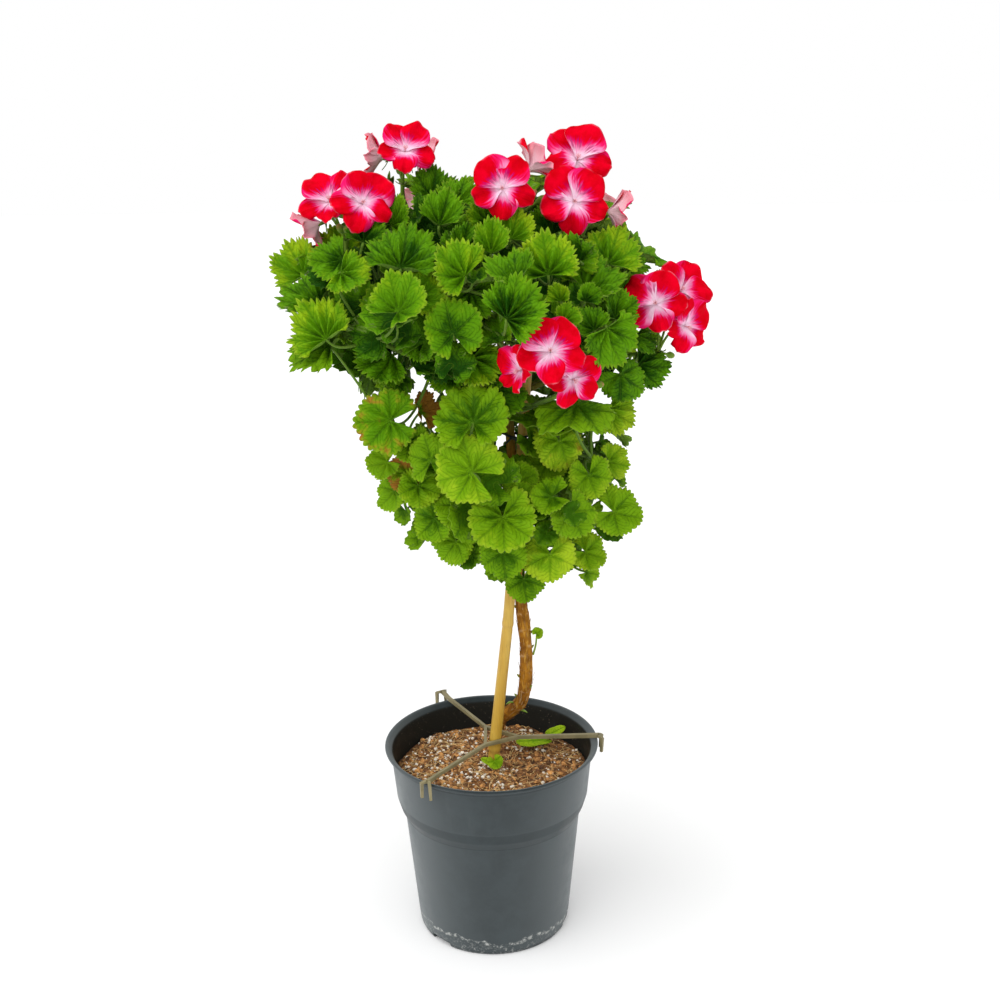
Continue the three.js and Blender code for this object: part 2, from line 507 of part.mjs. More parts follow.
// Rim of a leaf in its own axes: lobe tips and the notches between them, from one base corner to
// the other. The blade rises from the petiole by its cup, its fold and a slow wave.
function leafRim(leaf) {
  const form = LEAF_FORMS[leaf.kind];
  const lobes = leaf.lobes ?? (leaf.size < SMALL_SIZE ? SMALL_LOBES : form.lobes);
  const steps = 2 * lobes;
  return Array.from({ length: steps + 1 }, (_, i) => {
    const theta = radians(form.span) * ((2 * i) / steps - 1);
    const isTip = i % 2 === 1;
    const reach = leaf.size * (form.middle + form.stretch * Math.cos(theta) - (isTip ? 0 : form.notch));
    const rise = leaf.cup + (leaf.fold ?? 0) * Math.abs(Math.sin(theta));
    const wave = 0.05 * Math.sin(3 * theta + leaf.phase) + (isTip ? 0.02 : -0.02);
    const level = reach / Math.hypot(1, rise);
    const side = form.wide * level * Math.sin(theta);
    return [side, level * Math.cos(theta), form.wide * leaf.size * wave + level * rise];
  });
}

const BEND_TURN = 2.39996;

// The leaf as set out, or bent aside: a higher try turns and shifts it a little further
function bentLeaf(leaf, tryNumber) {
  const amount = tryNumber ** 0.45;
  const turn = tryNumber * BEND_TURN;
  const face = [
    leaf.face[0] + 3 * amount * Math.cos(turn),
    leaf.face[1] + 3 * amount * Math.sin(turn),
  ];
  const axes = axesOf(face, leaf.tip + 2 * amount * Math.sin(1.7 * turn));
  const push = add(times(axes.n, 1.4 * amount * Math.sin(1.3 * turn)), axes.a, amount * Math.cos(2.1 * turn));
  const middle = add(leaf.place, push);
  const root = add(middle, axes.b, -leaf.size * LEAF_FORMS[leaf.kind].seat);
  const rim = leafRim(leaf).map(([x, y, h]) => add(add(add(root, axes.a, x), axes.b, y), axes.n, h));
  const sway = times(axes.a, 2.5 * amount * Math.cos(3.1 * turn));
  return { root, rim, axes, sway };
}

// The petiole's line: out of the shoot, then into the blade from behind and below
function petioleLine(bent, start) {
  const long = distance(bent.root, start);
  const behind = add(add(bent.root, bent.axes.n, -0.38 * long), bent.axes.b, -0.22 * long);
  return curve(start, add(behind, bent.sway), add(bent.root, bent.axes.n, -BLADE_THICKNESS), 2);
}

// Pieces already placed, kept as small solids with their boxes
const placed = [];

function keep(node, part, body) {
  placed.push({ node, part, body, box: body.boundingBox() });
}

function boxesMeet(a, b, air) {
  return [0, 1, 2].every((k) => a.min[k] - air < b.max[k] && b.min[k] - air < a.max[k]);
}

// True when a body keeps clear of every placed piece that the filter picks
function isClear(body, picks) {
  const box = body.boundingBox();
  return placed.every((other) => {
    if (!picks(other) || !boxesMeet(box, other.box, CLEARANCE)) return true;
    return body.minGap(other.body, 2 * CLEARANCE) >= CLEARANCE;
  });
}

// Pot: a turned shell with drain holes in its floor and notches in its foot
function makePot() {
  const outline = POT_OUTLINE.map(([r, z]) => new THREE.Vector2(r, z));
  const shell = solidFrom(new THREE.LatheGeometry(outline, POT_SEGMENTS).rotateX(Math.PI / 2));
  const cuts = [];
  for (let i = 0; i < DRAIN_HOLES.count; i += 1) {
    const turn = ((i + 0.5) / DRAIN_HOLES.count) * 2 * Math.PI;
    const hole = new THREE.CylinderGeometry(DRAIN_HOLES.radius, DRAIN_HOLES.radius, 3 * POT_FLOOR, 6);
    hole.rotateX(Math.PI / 2);
    hole.translate(DRAIN_HOLES.ring * Math.cos(turn), DRAIN_HOLES.ring * Math.sin(turn), 0);
    cuts.push(solidFrom(hole));
  }
  FOOT_NOTCHES.turns.forEach((turn) => {
    const { width, height, depth } = FOOT_NOTCHES;
    const notch = new THREE.BoxGeometry(2 * depth, width, 2 * height);
    notch.translate(POT_FOOT_RADIUS + 1, 0, 0);
    notch.rotateZ(radians(turn));
    cuts.push(solidFrom(notch));
  });
  return shell.subtract(wasm.Manifold.union(cuts));
}

// Soil: fills the pot, uneven on top, with a plain hole for each stem that stands in it
function makeSoil(sockets) {
  const corners = [];
  const triangles = [];
  const rings = [...SOIL_WALL.map(([r, z]) => ({ r, z, rough: 0 }))];
  SOIL_RINGS.forEach((r) => rings.push({ r, z: SOIL_LEVEL, rough: 1.6 }));
  rings.forEach(({ r, z, rough }, i) => {
    for (let k = 0; k < POT_SEGMENTS; k += 1) {
      const turn = (k / POT_SEGMENTS) * 2 * Math.PI;
      const x = r * Math.sin(turn);
      const y = -r * Math.cos(turn);
      const mound = rough > 0 ? 3 * Math.cos(turn + 0.7) * (1 - r / 110) : 0;
      corners.push([x, y, z + mound + rough * (chance(i * 97 + k) - 0.5)]);
    }
  });
  const bottom = corners.push([0, 0, SOIL_WALL[0][1]]) - 1;
  const top = corners.push([0, 0, SOIL_LEVEL + 2]) - 1;
  const last = (rings.length - 1) * POT_SEGMENTS;
  for (let k = 0; k < POT_SEGMENTS; k += 1) {
    const next = (k + 1) % POT_SEGMENTS;
    for (let i = 0; i + 1 < rings.length; i += 1) {
      const low = i * POT_SEGMENTS;
      const high = low + POT_SEGMENTS;
      triangles.push([low + k, low + next, high + next], [low + k, high + next, high + k]);
    }
    triangles.push([bottom, next, k], [top, last + k, last + next]);
  }
  return solid(corners, triangles).subtract(wasm.Manifold.union(sockets));
}

// Clip: a triangular ring with an arm from each corner that passes over the rim
function makeClip() {
  const centre = times(CLIP_HUB.reduce((sum, p) => add(sum, [...p, 0]), [0, 0, 0]), 1 / 3);
  const pieces = CLIP_HUB.map((corner, i) => {
    const next = CLIP_HUB[(i + 1) % 3];
    const start = [...corner, CLIP_LEVEL];
    const end = [...next, CLIP_LEVEL];
    const along = unit(add(end, start, -1));
    return tube([add(start, along, -1.2), add(end, along, 1.2)], [2.2, 2.2], 4, 0.9, [0, 0, 1]);
  });
  CLIP_ARMS.forEach(({ turn, from, over, prong }) => {
    const out = [Math.cos(radians(turn)), Math.sin(radians(turn)), 0];
    const side = [-out[1], out[0], 0];
    const root = [...CLIP_HUB[from], CLIP_LEVEL];
    const inward = unit(add(centre, [...CLIP_HUB[from], 0], -1));
    const rim = add(times(out, POT_LIP_RADIUS + 0.5), [0, 0, over]);
    const near = add(times(out, POT_LIP_RADIUS - 14), [0, 0, CLIP_LEVEL + (over - CLIP_LEVEL) * 0.75]);
    pieces.push(tube([add(root, inward, 0.6), near, rim], [2.2, 2.3, 2.6], 4, 0.85, [0, 0, 1]));
    [-1, 1].forEach((way) => {
      const top = add(rim, side, way * 1.4);
      const knee = add(add(times(out, POT_LIP_RADIUS + 3.6), side, way * 4.2), [0, 0, over - 1.2]);
      const foot = add(add(times(out, POT_LIP_RADIUS + 3), side, way * 4.6), [0, 0, prong]);
      pieces.push(tube([top, knee, foot], [1.9, 2, 1.6], 4, 1, side));
    });
  });
  return join(pieces);
}

// Tie: two half loops round cane and stem, crossing in front, one with a long pointed end
function makeTie() {
  const cane = atHeight(CANE_LINE, CANE_RADII, TIE_HEIGHT);
  const stem = atHeight(STEM_LINE, STEM_RADII, TIE_HEIGHT);
  const away = unit(add(stem.point, cane.point, -1));
  const across = [-away[1], away[0], 0];
  const air = CLEARANCE + TIE_RADIUS + 0.5;
  const round = (centre, radius, turn, rise) => {
    const out = add(times(away, Math.cos(turn)), unit(across), Math.sin(turn));
    return [centre[0] + out[0] * (radius + air), centre[1] + out[1] * (radius + air), TIE_HEIGHT + rise];
  };
  const left = [-1.5, -0.9, -0.1, 0.7, 1.4].map((t, i) => round(stem.point, stem.radius, t, 0.4 * i));
  const right = [-1.9, -2.5, -3.14, -3.8, -4.4].map((t, i) => round(cane.point, cane.radius, t, -0.5 * i));
  const crossing = mix(left[4], right[4], 0.5);
  const tail = [add(crossing, [-6, -3, -5]), add(crossing, [7, -7.5, 1]), add(crossing, [18, -7, 5])];
  return join([
    tube([...left, right[4]], left.map(() => TIE_RADIUS).concat(TIE_RADIUS), 4),
    tube([left[0], ...right], right.map(() => TIE_RADIUS).concat(TIE_RADIUS), 4),
    tube([crossing, tail[1], tail[2]], [1.3, 1.4, 0.4], 4),
    tube([crossing, tail[0]], [1.1, 0.7], 4),
  ]);
}

// A short green stalk with leaflets that grow from points along it
function makeSprout({ line, radius, leaflets }) {
  const pieces = [tube(line, [radius, radius, radius * 0.8], 4)];
  leaflets.forEach((leaflet, i) => {
    const root = curve(line[0], line[1], line[2], 10)[Math.round(10 * leaflet.at)];
    const bent = bentLeaf({ ...leaflet, lobes: 3, phase: i, place: root }, 0);
    const shift = add(add(root, bent.root, -1), bent.axes.n, 0.4);
    pieces.push(blade(bent.root, bent.rim, BLADE_THICKNESS).translate(shift));
  });
  return join(pieces);
}

// A bloom: five petals round a throat, each with a notch to the next
function bloomRim(bloom, axes) {
  const throat = bloom.place;
  const outward = (turn) => add(times(axes.b, Math.cos(radians(turn))), axes.a, Math.sin(radians(turn)));
  return PETALS.flatMap(({ turn, long, wide, lean }, i) => {
    const out = outward(turn);
    const back = radians(lean * bloom.open);
    const along = add(times(out, Math.sin(back)), axes.n, Math.cos(back));
    const flat = cross(axes.n, out);
    const up = cross(along, flat);
    const side = add(times(flat, Math.cos(radians(PETAL_ROLL))), up, Math.sin(radians(PETAL_ROLL)));
    const petal = PETAL_OUTLINE.map(([x, y]) => {
      const place = add(throat, side, -x * wide * Math.sin(back) * bloom.size);
      return add(place, along, y * long * bloom.size);
    });
    const next = PETALS[(i + 1) % PETALS.length];
    const between = (turn + next.turn + (next.turn < turn ? 360 : 0)) / 2;
    const mean = radians(0.5 * bloom.open * (lean + next.lean));
    const notch = add(times(outward(between), Math.sin(mean)), axes.n, Math.cos(mean));
    return [...petal, add(throat, notch, PETAL_NOTCH * bloom.size)];
  });
}

// The bloom as set out, or bent aside
function bentBloom(bloom, tryNumber) {
  const amount = tryNumber ** 0.45;
  const turn = tryNumber * BEND_TURN;
  const face = [
    bloom.face[0] + 3 * amount * Math.cos(turn),
    bloom.face[1] + 3 * amount * Math.sin(turn),
  ];
  const axes = axesOf(face, bloom.tip);
  const place = add(placeOf(bloom), axes.n, 1.5 * amount * Math.sin(1.3 * turn));
  const rim = bloomRim({ ...bloom, place }, axes);
  const back = add(place, axes.n, -PETAL_THICKNESS - CLEARANCE - 0.05);
  return { root: place, rim, axes, back };
}

// Pedicel from the umbel to a bloom's back, widening into the sepals' cup
function pedicelLine(umbel, end, n, tryNumber) {
  const amount = Math.sqrt(tryNumber);
  const turn = tryNumber * BEND_TURN;
  const long = distance(umbel, end);
  const sway = [2.2 * amount * Math.cos(turn), 2.2 * amount * Math.sin(turn), amount * Math.sin(1.7 * turn)];
  const behind = add(add(end, n, -0.45 * long), sway);
  return [...curve(umbel, behind, end, 3).slice(0, 2), add(end, n, -7), end];
}

// The room that a tube and the air round it take up
function roomOf(line, radii, sides) {
  const air = CLEARANCE / Math.cos(Math.PI / sides);
  const first = add(line[0], unit(add(line[0], line[1], -1)), air);
  const last = add(line.at(-1), unit(add(line.at(-1), line.at(-2), -1)), air);
  return tube([first, ...line.slice(1, -1), last], radii.map((r) => r + air), sides);
}

function shootLine(name) {
  const { from, bend, end } = SHOOTS[name];
  return curve(atHeight(STEM_LINE, STEM_RADII, from).point, bend, end, 3);
}

// Where a petiole may leave a shoot: on each shoot the point nearest to a place behind the blade,
// nearest shoot first
function nearestShoots(place) {
  const ways = Object.keys(SHOOTS).map((name) => {
    const { from, bend, end } = SHOOTS[name];
    const points = curve(atHeight(STEM_LINE, STEM_RADII, from).point, bend, end, 12).slice(4);
    const fars = points.map((point) => distance(point, place));
    const far = Math.min(...fars);
    return { name, far, point: points[fars.indexOf(far)] };
  });
  return ways.sort((one, other) => one.far - other.far);
}

// The leaves of a tier that the front list doesn't hold
function tierLeaves(tier) {
  const leaves = [];
  for (let i = 0; i < tier.count; i += 1) {
    const seed = tier.seed * 1000 + i * 7;
    const height = 1 - (2 * (i + 0.5)) / tier.count;
    const turn = i * BEND_TURN;
    const level = Math.sqrt(1 - height * height);
    const out = [level * Math.cos(turn), level * Math.sin(turn), height];
    const isBack = out[1] > 0.12 - 0.25 * Math.abs(out[0]);
    if (!isBack || out[2] < -0.8) continue;
    const swell = 0.86 + 0.14 * chance(seed);
    const place = tier.middle.map((m, k) => m + tier.reach[k] * swell * out[k]);
    const looks = unit(add(out, [0, 0, 0.45 + 0.4 * chance(seed + 1)]));
    const face = [
      (Math.atan2(looks[0], -looks[1]) * 180) / Math.PI,
      (Math.asin(looks[2]) * 180) / Math.PI,
    ];
    leaves.push({
      kind: tier.kind,
      place,
      face,
      tip: 180 + 150 * (chance(seed + 2) - 0.5),
      size: tier.size[0] + (tier.size[1] - tier.size[0]) * chance(seed + 3),
      cup: 0.15 + 0.35 * chance(seed + 4),
      phase: 2 * Math.PI * chance(seed + 5),
      lobes: SMALL_LOBES,
    });
  }
  return leaves;
}

const TRIES = 240;
const SHOOT_CHOICE = 3;
const BEHIND_LEAST = -0.3; // share of the petiole's way that leads back from the blade

// Grows a leaf at the first bend that is clear of the other pieces. A leaf that finds none may
// cross its own shoot's leaves, and is joined to them there.
function growLeaf(leaf) {
  const looks = axesOf(leaf.face, leaf.tip).n;
  const ways = nearestShoots(add(leaf.place, looks, -0.5 * leaf.size));
  let chosen = null;
  for (let tryNumber = 0; tryNumber < TRIES; tryNumber += 1) {
    const { name, point } = ways[tryNumber % SHOOT_CHOICE];
    const node = `leafy_shoot_${name}`;
    const bent = bentLeaf(leaf, tryNumber);
    const way = add(point, bent.root, -1);
    if (dot(way, bent.axes.n) > BEHIND_LEAST * Math.hypot(...way)) continue;
    const body = blade(bent.root, bent.rim, BLADE_THICKNESS, false, petioleLine(bent, point));
    if (!isClear(body, (other) => other.node !== node)) continue;
    const plain = blade(bent.root, bent.rim, BLADE_THICKNESS);
    chosen = chosen ?? { node, body };
    if (isClear(plain, (other) => other.node === node)) {
      chosen = { node, body };
      break;
    }
  }
  if (chosen) keep(chosen.node, 'leaf', chosen.body);
}

const group = new THREE.Group();

// Adds a finished body to the group as a named mesh
function show(name, body, colour, roughness) {
  const { vertProperties, triVerts } = body.getMesh();
  const geometry = new THREE.BufferGeometry();
  geometry.setAttribute('position', new THREE.BufferAttribute(new Float32Array(vertProperties), 3));
  geometry.setIndex(new THREE.BufferAttribute(new Uint32Array(triVerts), 1));
  geometry.computeVertexNormals();
  const material = new THREE.MeshStandardMaterial({ color: colour, roughness, metalness: 0 });
  const mesh = new THREE.Mesh(geometry, material);
  mesh.name = name;
  group.add(mesh);
}

// Holder and stems
const caneBody = tube(CANE_LINE, CANE_RADII, 8);
const stemBody = tube(STEM_LINE, STEM_RADII, 8);
const rooms = [roomOf(CANE_LINE, CANE_RADII, 8), roomOf(STEM_LINE, STEM_RADII, 8)];
const clipBody = makeClip();
const tieBody = makeTie();
keep('cane', 'cane', caneBody);
keep('woody_stem', 'stem', stemBody);
keep('pot_clip', 'clip', clipBody);
keep('cane_tie', 'tie', tieBody);
Object.entries(SPROUTS).forEach(([name, sprout]) => keep(name, 'sprout', makeSprout(sprout)));
const sproutRooms = Object.values(SPROUTS).map(({ line, radius }) => roomOf(line, line.map(() => radius), 4));

show('pot', makePot(), COLOURS.pot, 0.55);
show('soil', makeSoil([...rooms, ...sproutRooms]), COLOURS.soil, 0.95);
show('pot_clip', clipBody, COLOURS.clip, 0.5);
show('cane', caneBody, COLOURS.cane, 0.6);
show('cane_tie', tieBody, COLOURS.tie, 0.6);
show('woody_stem', stemBody, COLOURS.bark, 0.85);

// Shoot stems, each cut back to where it is clear of the stem, the cane and the earlier shoots
Object.keys(SHOOTS).forEach((name) => {
  const line = shootLine(name);
  const body = tube(line, SHOOT_RADII, 4).subtract(wasm.Manifold.union(rooms));
  const whole = body.decompose().reduce((best, piece) => (piece.volume() > best.volume() ? piece : best));
  keep(`leafy_shoot_${name}`, 'stem', whole);
  rooms.push(roomOf(line, SHOOT_RADII, 4));
});

// Flower heads: blooms first, then the stalks that reach them
Object.entries(HEADS).forEach(([name, head]) => {
  const stalksNode = `flower_head_${name}_stalks`;
  const ends = [];
  head.blooms.forEach((bloom, i) => {
    const node = `flower_head_${name}_bloom_${i + 1}`;
    for (let tryNumber = 0; tryNumber < TRIES; tryNumber += 1) {
      const { root, rim, axes, back } = bentBloom(bloom, tryNumber);
      const body = blade(root, rim, PETAL_THICKNESS, true);
      if (isClear(body, () => true)) {
        keep(node, 'bloom', body);
        ends.push({ end: back, n: axes.n, radii: [1.1, 1, 1.2, 2.6] });
        return;
      }
    }
  });
  const umbel = placeOf(head.umbel);
  head.buds.forEach((bud) => {
    const end = placeOf(bud);
    ends.push({ end, n: unit(add(end, umbel, -1)), radii: [1.1, 1, 2.4, 0.6] });
  });
  const shoot = shootLine(head.shoot);
  const tip = shoot[3];
  const outward = unit(add(tip, shoot[2], -1));
  const start = add(tip, outward, 3 * CLEARANCE);
  const stalk = curve(start, add(start, outward, 0.5 * distance(start, umbel)), umbel, 3);
  keep(stalksNode, 'stalk', tube(stalk, [1.8, 1.6, 1.6, 2], 4));
  ends.forEach(({ end, n, radii }) => {
    for (let tryNumber = 0; tryNumber < TRIES; tryNumber += 1) {
      const pedicel = tube(pedicelLine(umbel, end, n, tryNumber), radii, 3);
      if (isClear(pedicel, (other) => other.node !== stalksNode)) {
        keep(stalksNode, 'pedicel', pedicel);
        return;
      }
    }
  });
});

// Leaves, front ones first
FRONT_LEAVES.forEach((leaf, i) => {
  growLeaf({ ...leaf, place: placeOf(leaf), phase: 2 * Math.PI * chance(i) });
});
TIERS.flatMap(tierLeaves).forEach(growLeaf);

// Joined nodes
function joinNode(node) {
  return join(placed.filter((piece) => piece.node === node).map((piece) => piece.body));
}
Object.keys(SPROUTS).forEach((name) => show(name, joinNode(name), COLOURS.sprout, 0.6));
Object.keys(SHOOTS).forEach((name) => {
  const colour = name.startsWith('upper') ? COLOURS.leaf : COLOURS.lower_leaf;
  show(`leafy_shoot_${name}`, joinNode(`leafy_shoot_${name}`), colour, 0.6);
});
Object.keys(HEADS).forEach((name) => {
  show(`flower_head_${name}_stalks`, joinNode(`flower_head_${name}_stalks`), COLOURS.flower_green, 0.7);
  HEADS[name].blooms.forEach((_, i) => {
    const node = `flower_head_${name}_bloom_${i + 1}`;
    show(node, joinNode(node), COLOURS.petal, 0.6);
  });
});

export default group;
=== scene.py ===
"""Looks of the regal pelargonium standard in its container pot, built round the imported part.

The scene is in metres. Shapes are worked out in millimetres, in the part's own frame, and scaled
when they become meshes.
"""
from math import asin, atan2, cos, degrees, pi, radians, sin, sqrt, tau

import bmesh
import bpy
import numpy as np
from mathutils import Matrix, Vector


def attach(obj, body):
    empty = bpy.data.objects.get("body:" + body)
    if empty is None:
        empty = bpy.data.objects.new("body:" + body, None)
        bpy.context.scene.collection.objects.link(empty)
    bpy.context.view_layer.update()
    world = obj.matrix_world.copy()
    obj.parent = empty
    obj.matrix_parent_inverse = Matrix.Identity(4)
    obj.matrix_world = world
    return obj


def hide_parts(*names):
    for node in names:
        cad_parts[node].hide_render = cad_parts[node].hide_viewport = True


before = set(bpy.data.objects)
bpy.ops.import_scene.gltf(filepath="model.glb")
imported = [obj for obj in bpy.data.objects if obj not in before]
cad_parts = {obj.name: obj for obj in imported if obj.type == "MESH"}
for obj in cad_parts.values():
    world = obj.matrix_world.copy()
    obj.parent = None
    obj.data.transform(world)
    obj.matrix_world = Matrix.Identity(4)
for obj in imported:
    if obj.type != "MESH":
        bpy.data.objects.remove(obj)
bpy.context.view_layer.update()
scene = bpy.context.scene
scene.view_settings.view_transform = "Standard"

MM = 0.001
PLAIN = (0.5, 0, 0, 1)  # tint of a piece that is the same all over

# The part's own values
CLEARANCE = 0.3
PETAL_THICKNESS = 0.7
SOIL_LEVEL = 150
TIE_HEIGHT = 456
TIE_RADIUS = 1.1
TRIES = 240  # places that a leaf, bloom or pedicel may be shifted to
MATCH_NEAR, MATCH_SHARE = 0.25, 0.6  # how near a rim's points lie to the part's, and how many do
SHOOT_CHOICE = 3  # nearest shoots that a leaf may grow from
BEND_TURN = 2.39996  # golden angle
SMALL_LOBES = 5
SMALL_SIZE = 50
PETAL_ROLL = 6
PETAL_OUTLINE = [[-0.41, 0.7], [-0.31, 0.96], [0.29, 0.98], [0.41, 0.73]]
DRAIN_HOLES = {"count": 4, "ring": 44, "radius": 5}
FOOT_NOTCHES = {"turns": [225, 345, 105], "width": 22, "height": 6, "depth": 4.5}

CANE_LINE = [
    [-9, 1.5, 22], [-1, 0.5, 120], [3.3, 0, 176], [15.6, 0, 284], [16, 0, 288], [16.4, 0, 292],
    [29.6, 0, 446], [29.9, 0, 450], [30.2, 0, 454], [36.5, 0, 525],
]

CANE_RADII = [5.5, 5.4, 5.2, 4.7, 5.2, 4.7, 4.1, 4.7, 4, 3.7]

STEM_LINE = [
    [-1, 40, 92], [2, 38, 150], [8, 31, 180], [20, 21, 197], [28.4, 13, 211], [31.8, 7.5, 238],
    [31.6, 6, 266], [29.6, 6, 290], [27.6, 7.5, 310], [25.5, 10.5, 345], [23, 12, 395],
    [20.5, 9.5, 450], [18, 8, 488], [14, 7, 516],
]

STEM_RADII = [6, 5.6, 5.3, 5.9, 5.6, 5.9, 5.3, 5.7, 5.2, 4.9, 4.5, 4.1, 3.7, 3.2]

SPROUTS = {
    "stem_sprout": {
        "line": [[38, 6.4, 256], [40.4, 5, 266], [41.2, 3.6, 277]],
        "radius": 0.9,
        "leaflets": [
            {"kind": "round", "at": 1, "face": [20, 30], "tip": 60, "size": 11, "cup": 0.4},
        ],
    },
    "seedling_left": {
        "line": [[4, -10.5, 143], [3.6, -10.5, 154], [2.6, -10.5, 161]],
        "radius": 1,
        "leaflets": [
            {"kind": "round", "at": 1, "face": [6, 44], "tip": 160, "size": 14, "cup": 0.1},
            {"kind": "narrow", "at": 0.8, "face": [-20, 50], "tip": -80, "size": 17, "cup": 0.2},
        ],
    },
    "seedling_right": {
        "line": [[50, 38, 143], [50.6, 37, 154], [52, 36, 163]],
        "radius": 1,
        "leaflets": [
            {"kind": "narrow", "at": 0.72, "face": [0, 76], "tip": -96, "size": 36, "cup": 0.05},
            {"kind": "narrow", "at": 1, "face": [24, 58], "tip": 80, "size": 23, "cup": 0.12},
        ],
    },
}

SHOOTS = {name: dict(zip(("from", "bend", "end"), row)) for name, row in {
    "upper_a": (512, [-32, 2, 586], [-61, 4, 648]),
    "upper_b": (500, [-55, -22, 552], [-97, -34, 596]),
    "upper_c": (514, [10, -22, 585], [20, -38, 636]),
    "upper_d": (506, [48, -8, 572], [76, -20, 618]),
    "upper_e": (486, [72, 18, 512], [124, -22, 530]),
    "upper_f": (474, [36, -52, 494], [54, -92, 512]),
    "upper_g": (504, [-30, 48, 560], [-62, 84, 588]),
    "upper_h": (496, [46, 56, 552], [72, 92, 582]),
    "upper_i": (492, [-46, -48, 530], [-86, -74, 556]),
    "upper_j": (508, [-16, -52, 560], [-22, -88, 598]),
    "upper_k": (480, [-56, 28, 520], [-112, 44, 548]),
    "upper_l": (482, [74, 34, 518], [118, 54, 548]),
    "upper_m": (470, [14, 66, 512], [8, 116, 544]),
    "lower_a": (424, [-26, -22, 434], [-66, -38, 450]),
    "lower_b": (404, [2, -38, 414], [-8, -72, 436]),
    "lower_c": (414, [58, 10, 426], [86, -30, 446]),
    "lower_d": (340, [44, -26, 358], [22, -58, 376]),
    "lower_e": (352, [56, -6, 366], [78, -12, 388]),
    "lower_f": (390, [-16, 38, 408], [-40, 70, 432]),
    "lower_g": (396, [50, 46, 410], [68, 78, 432]),
    "lower_h": (362, [-6, -2, 376], [-34, -8, 398]),
    "lower_i": (346, [26, 44, 364], [24, 70, 386]),
}.items()}

SHOOT_RADII = [3.2, 2.6, 2.1, 1.8]

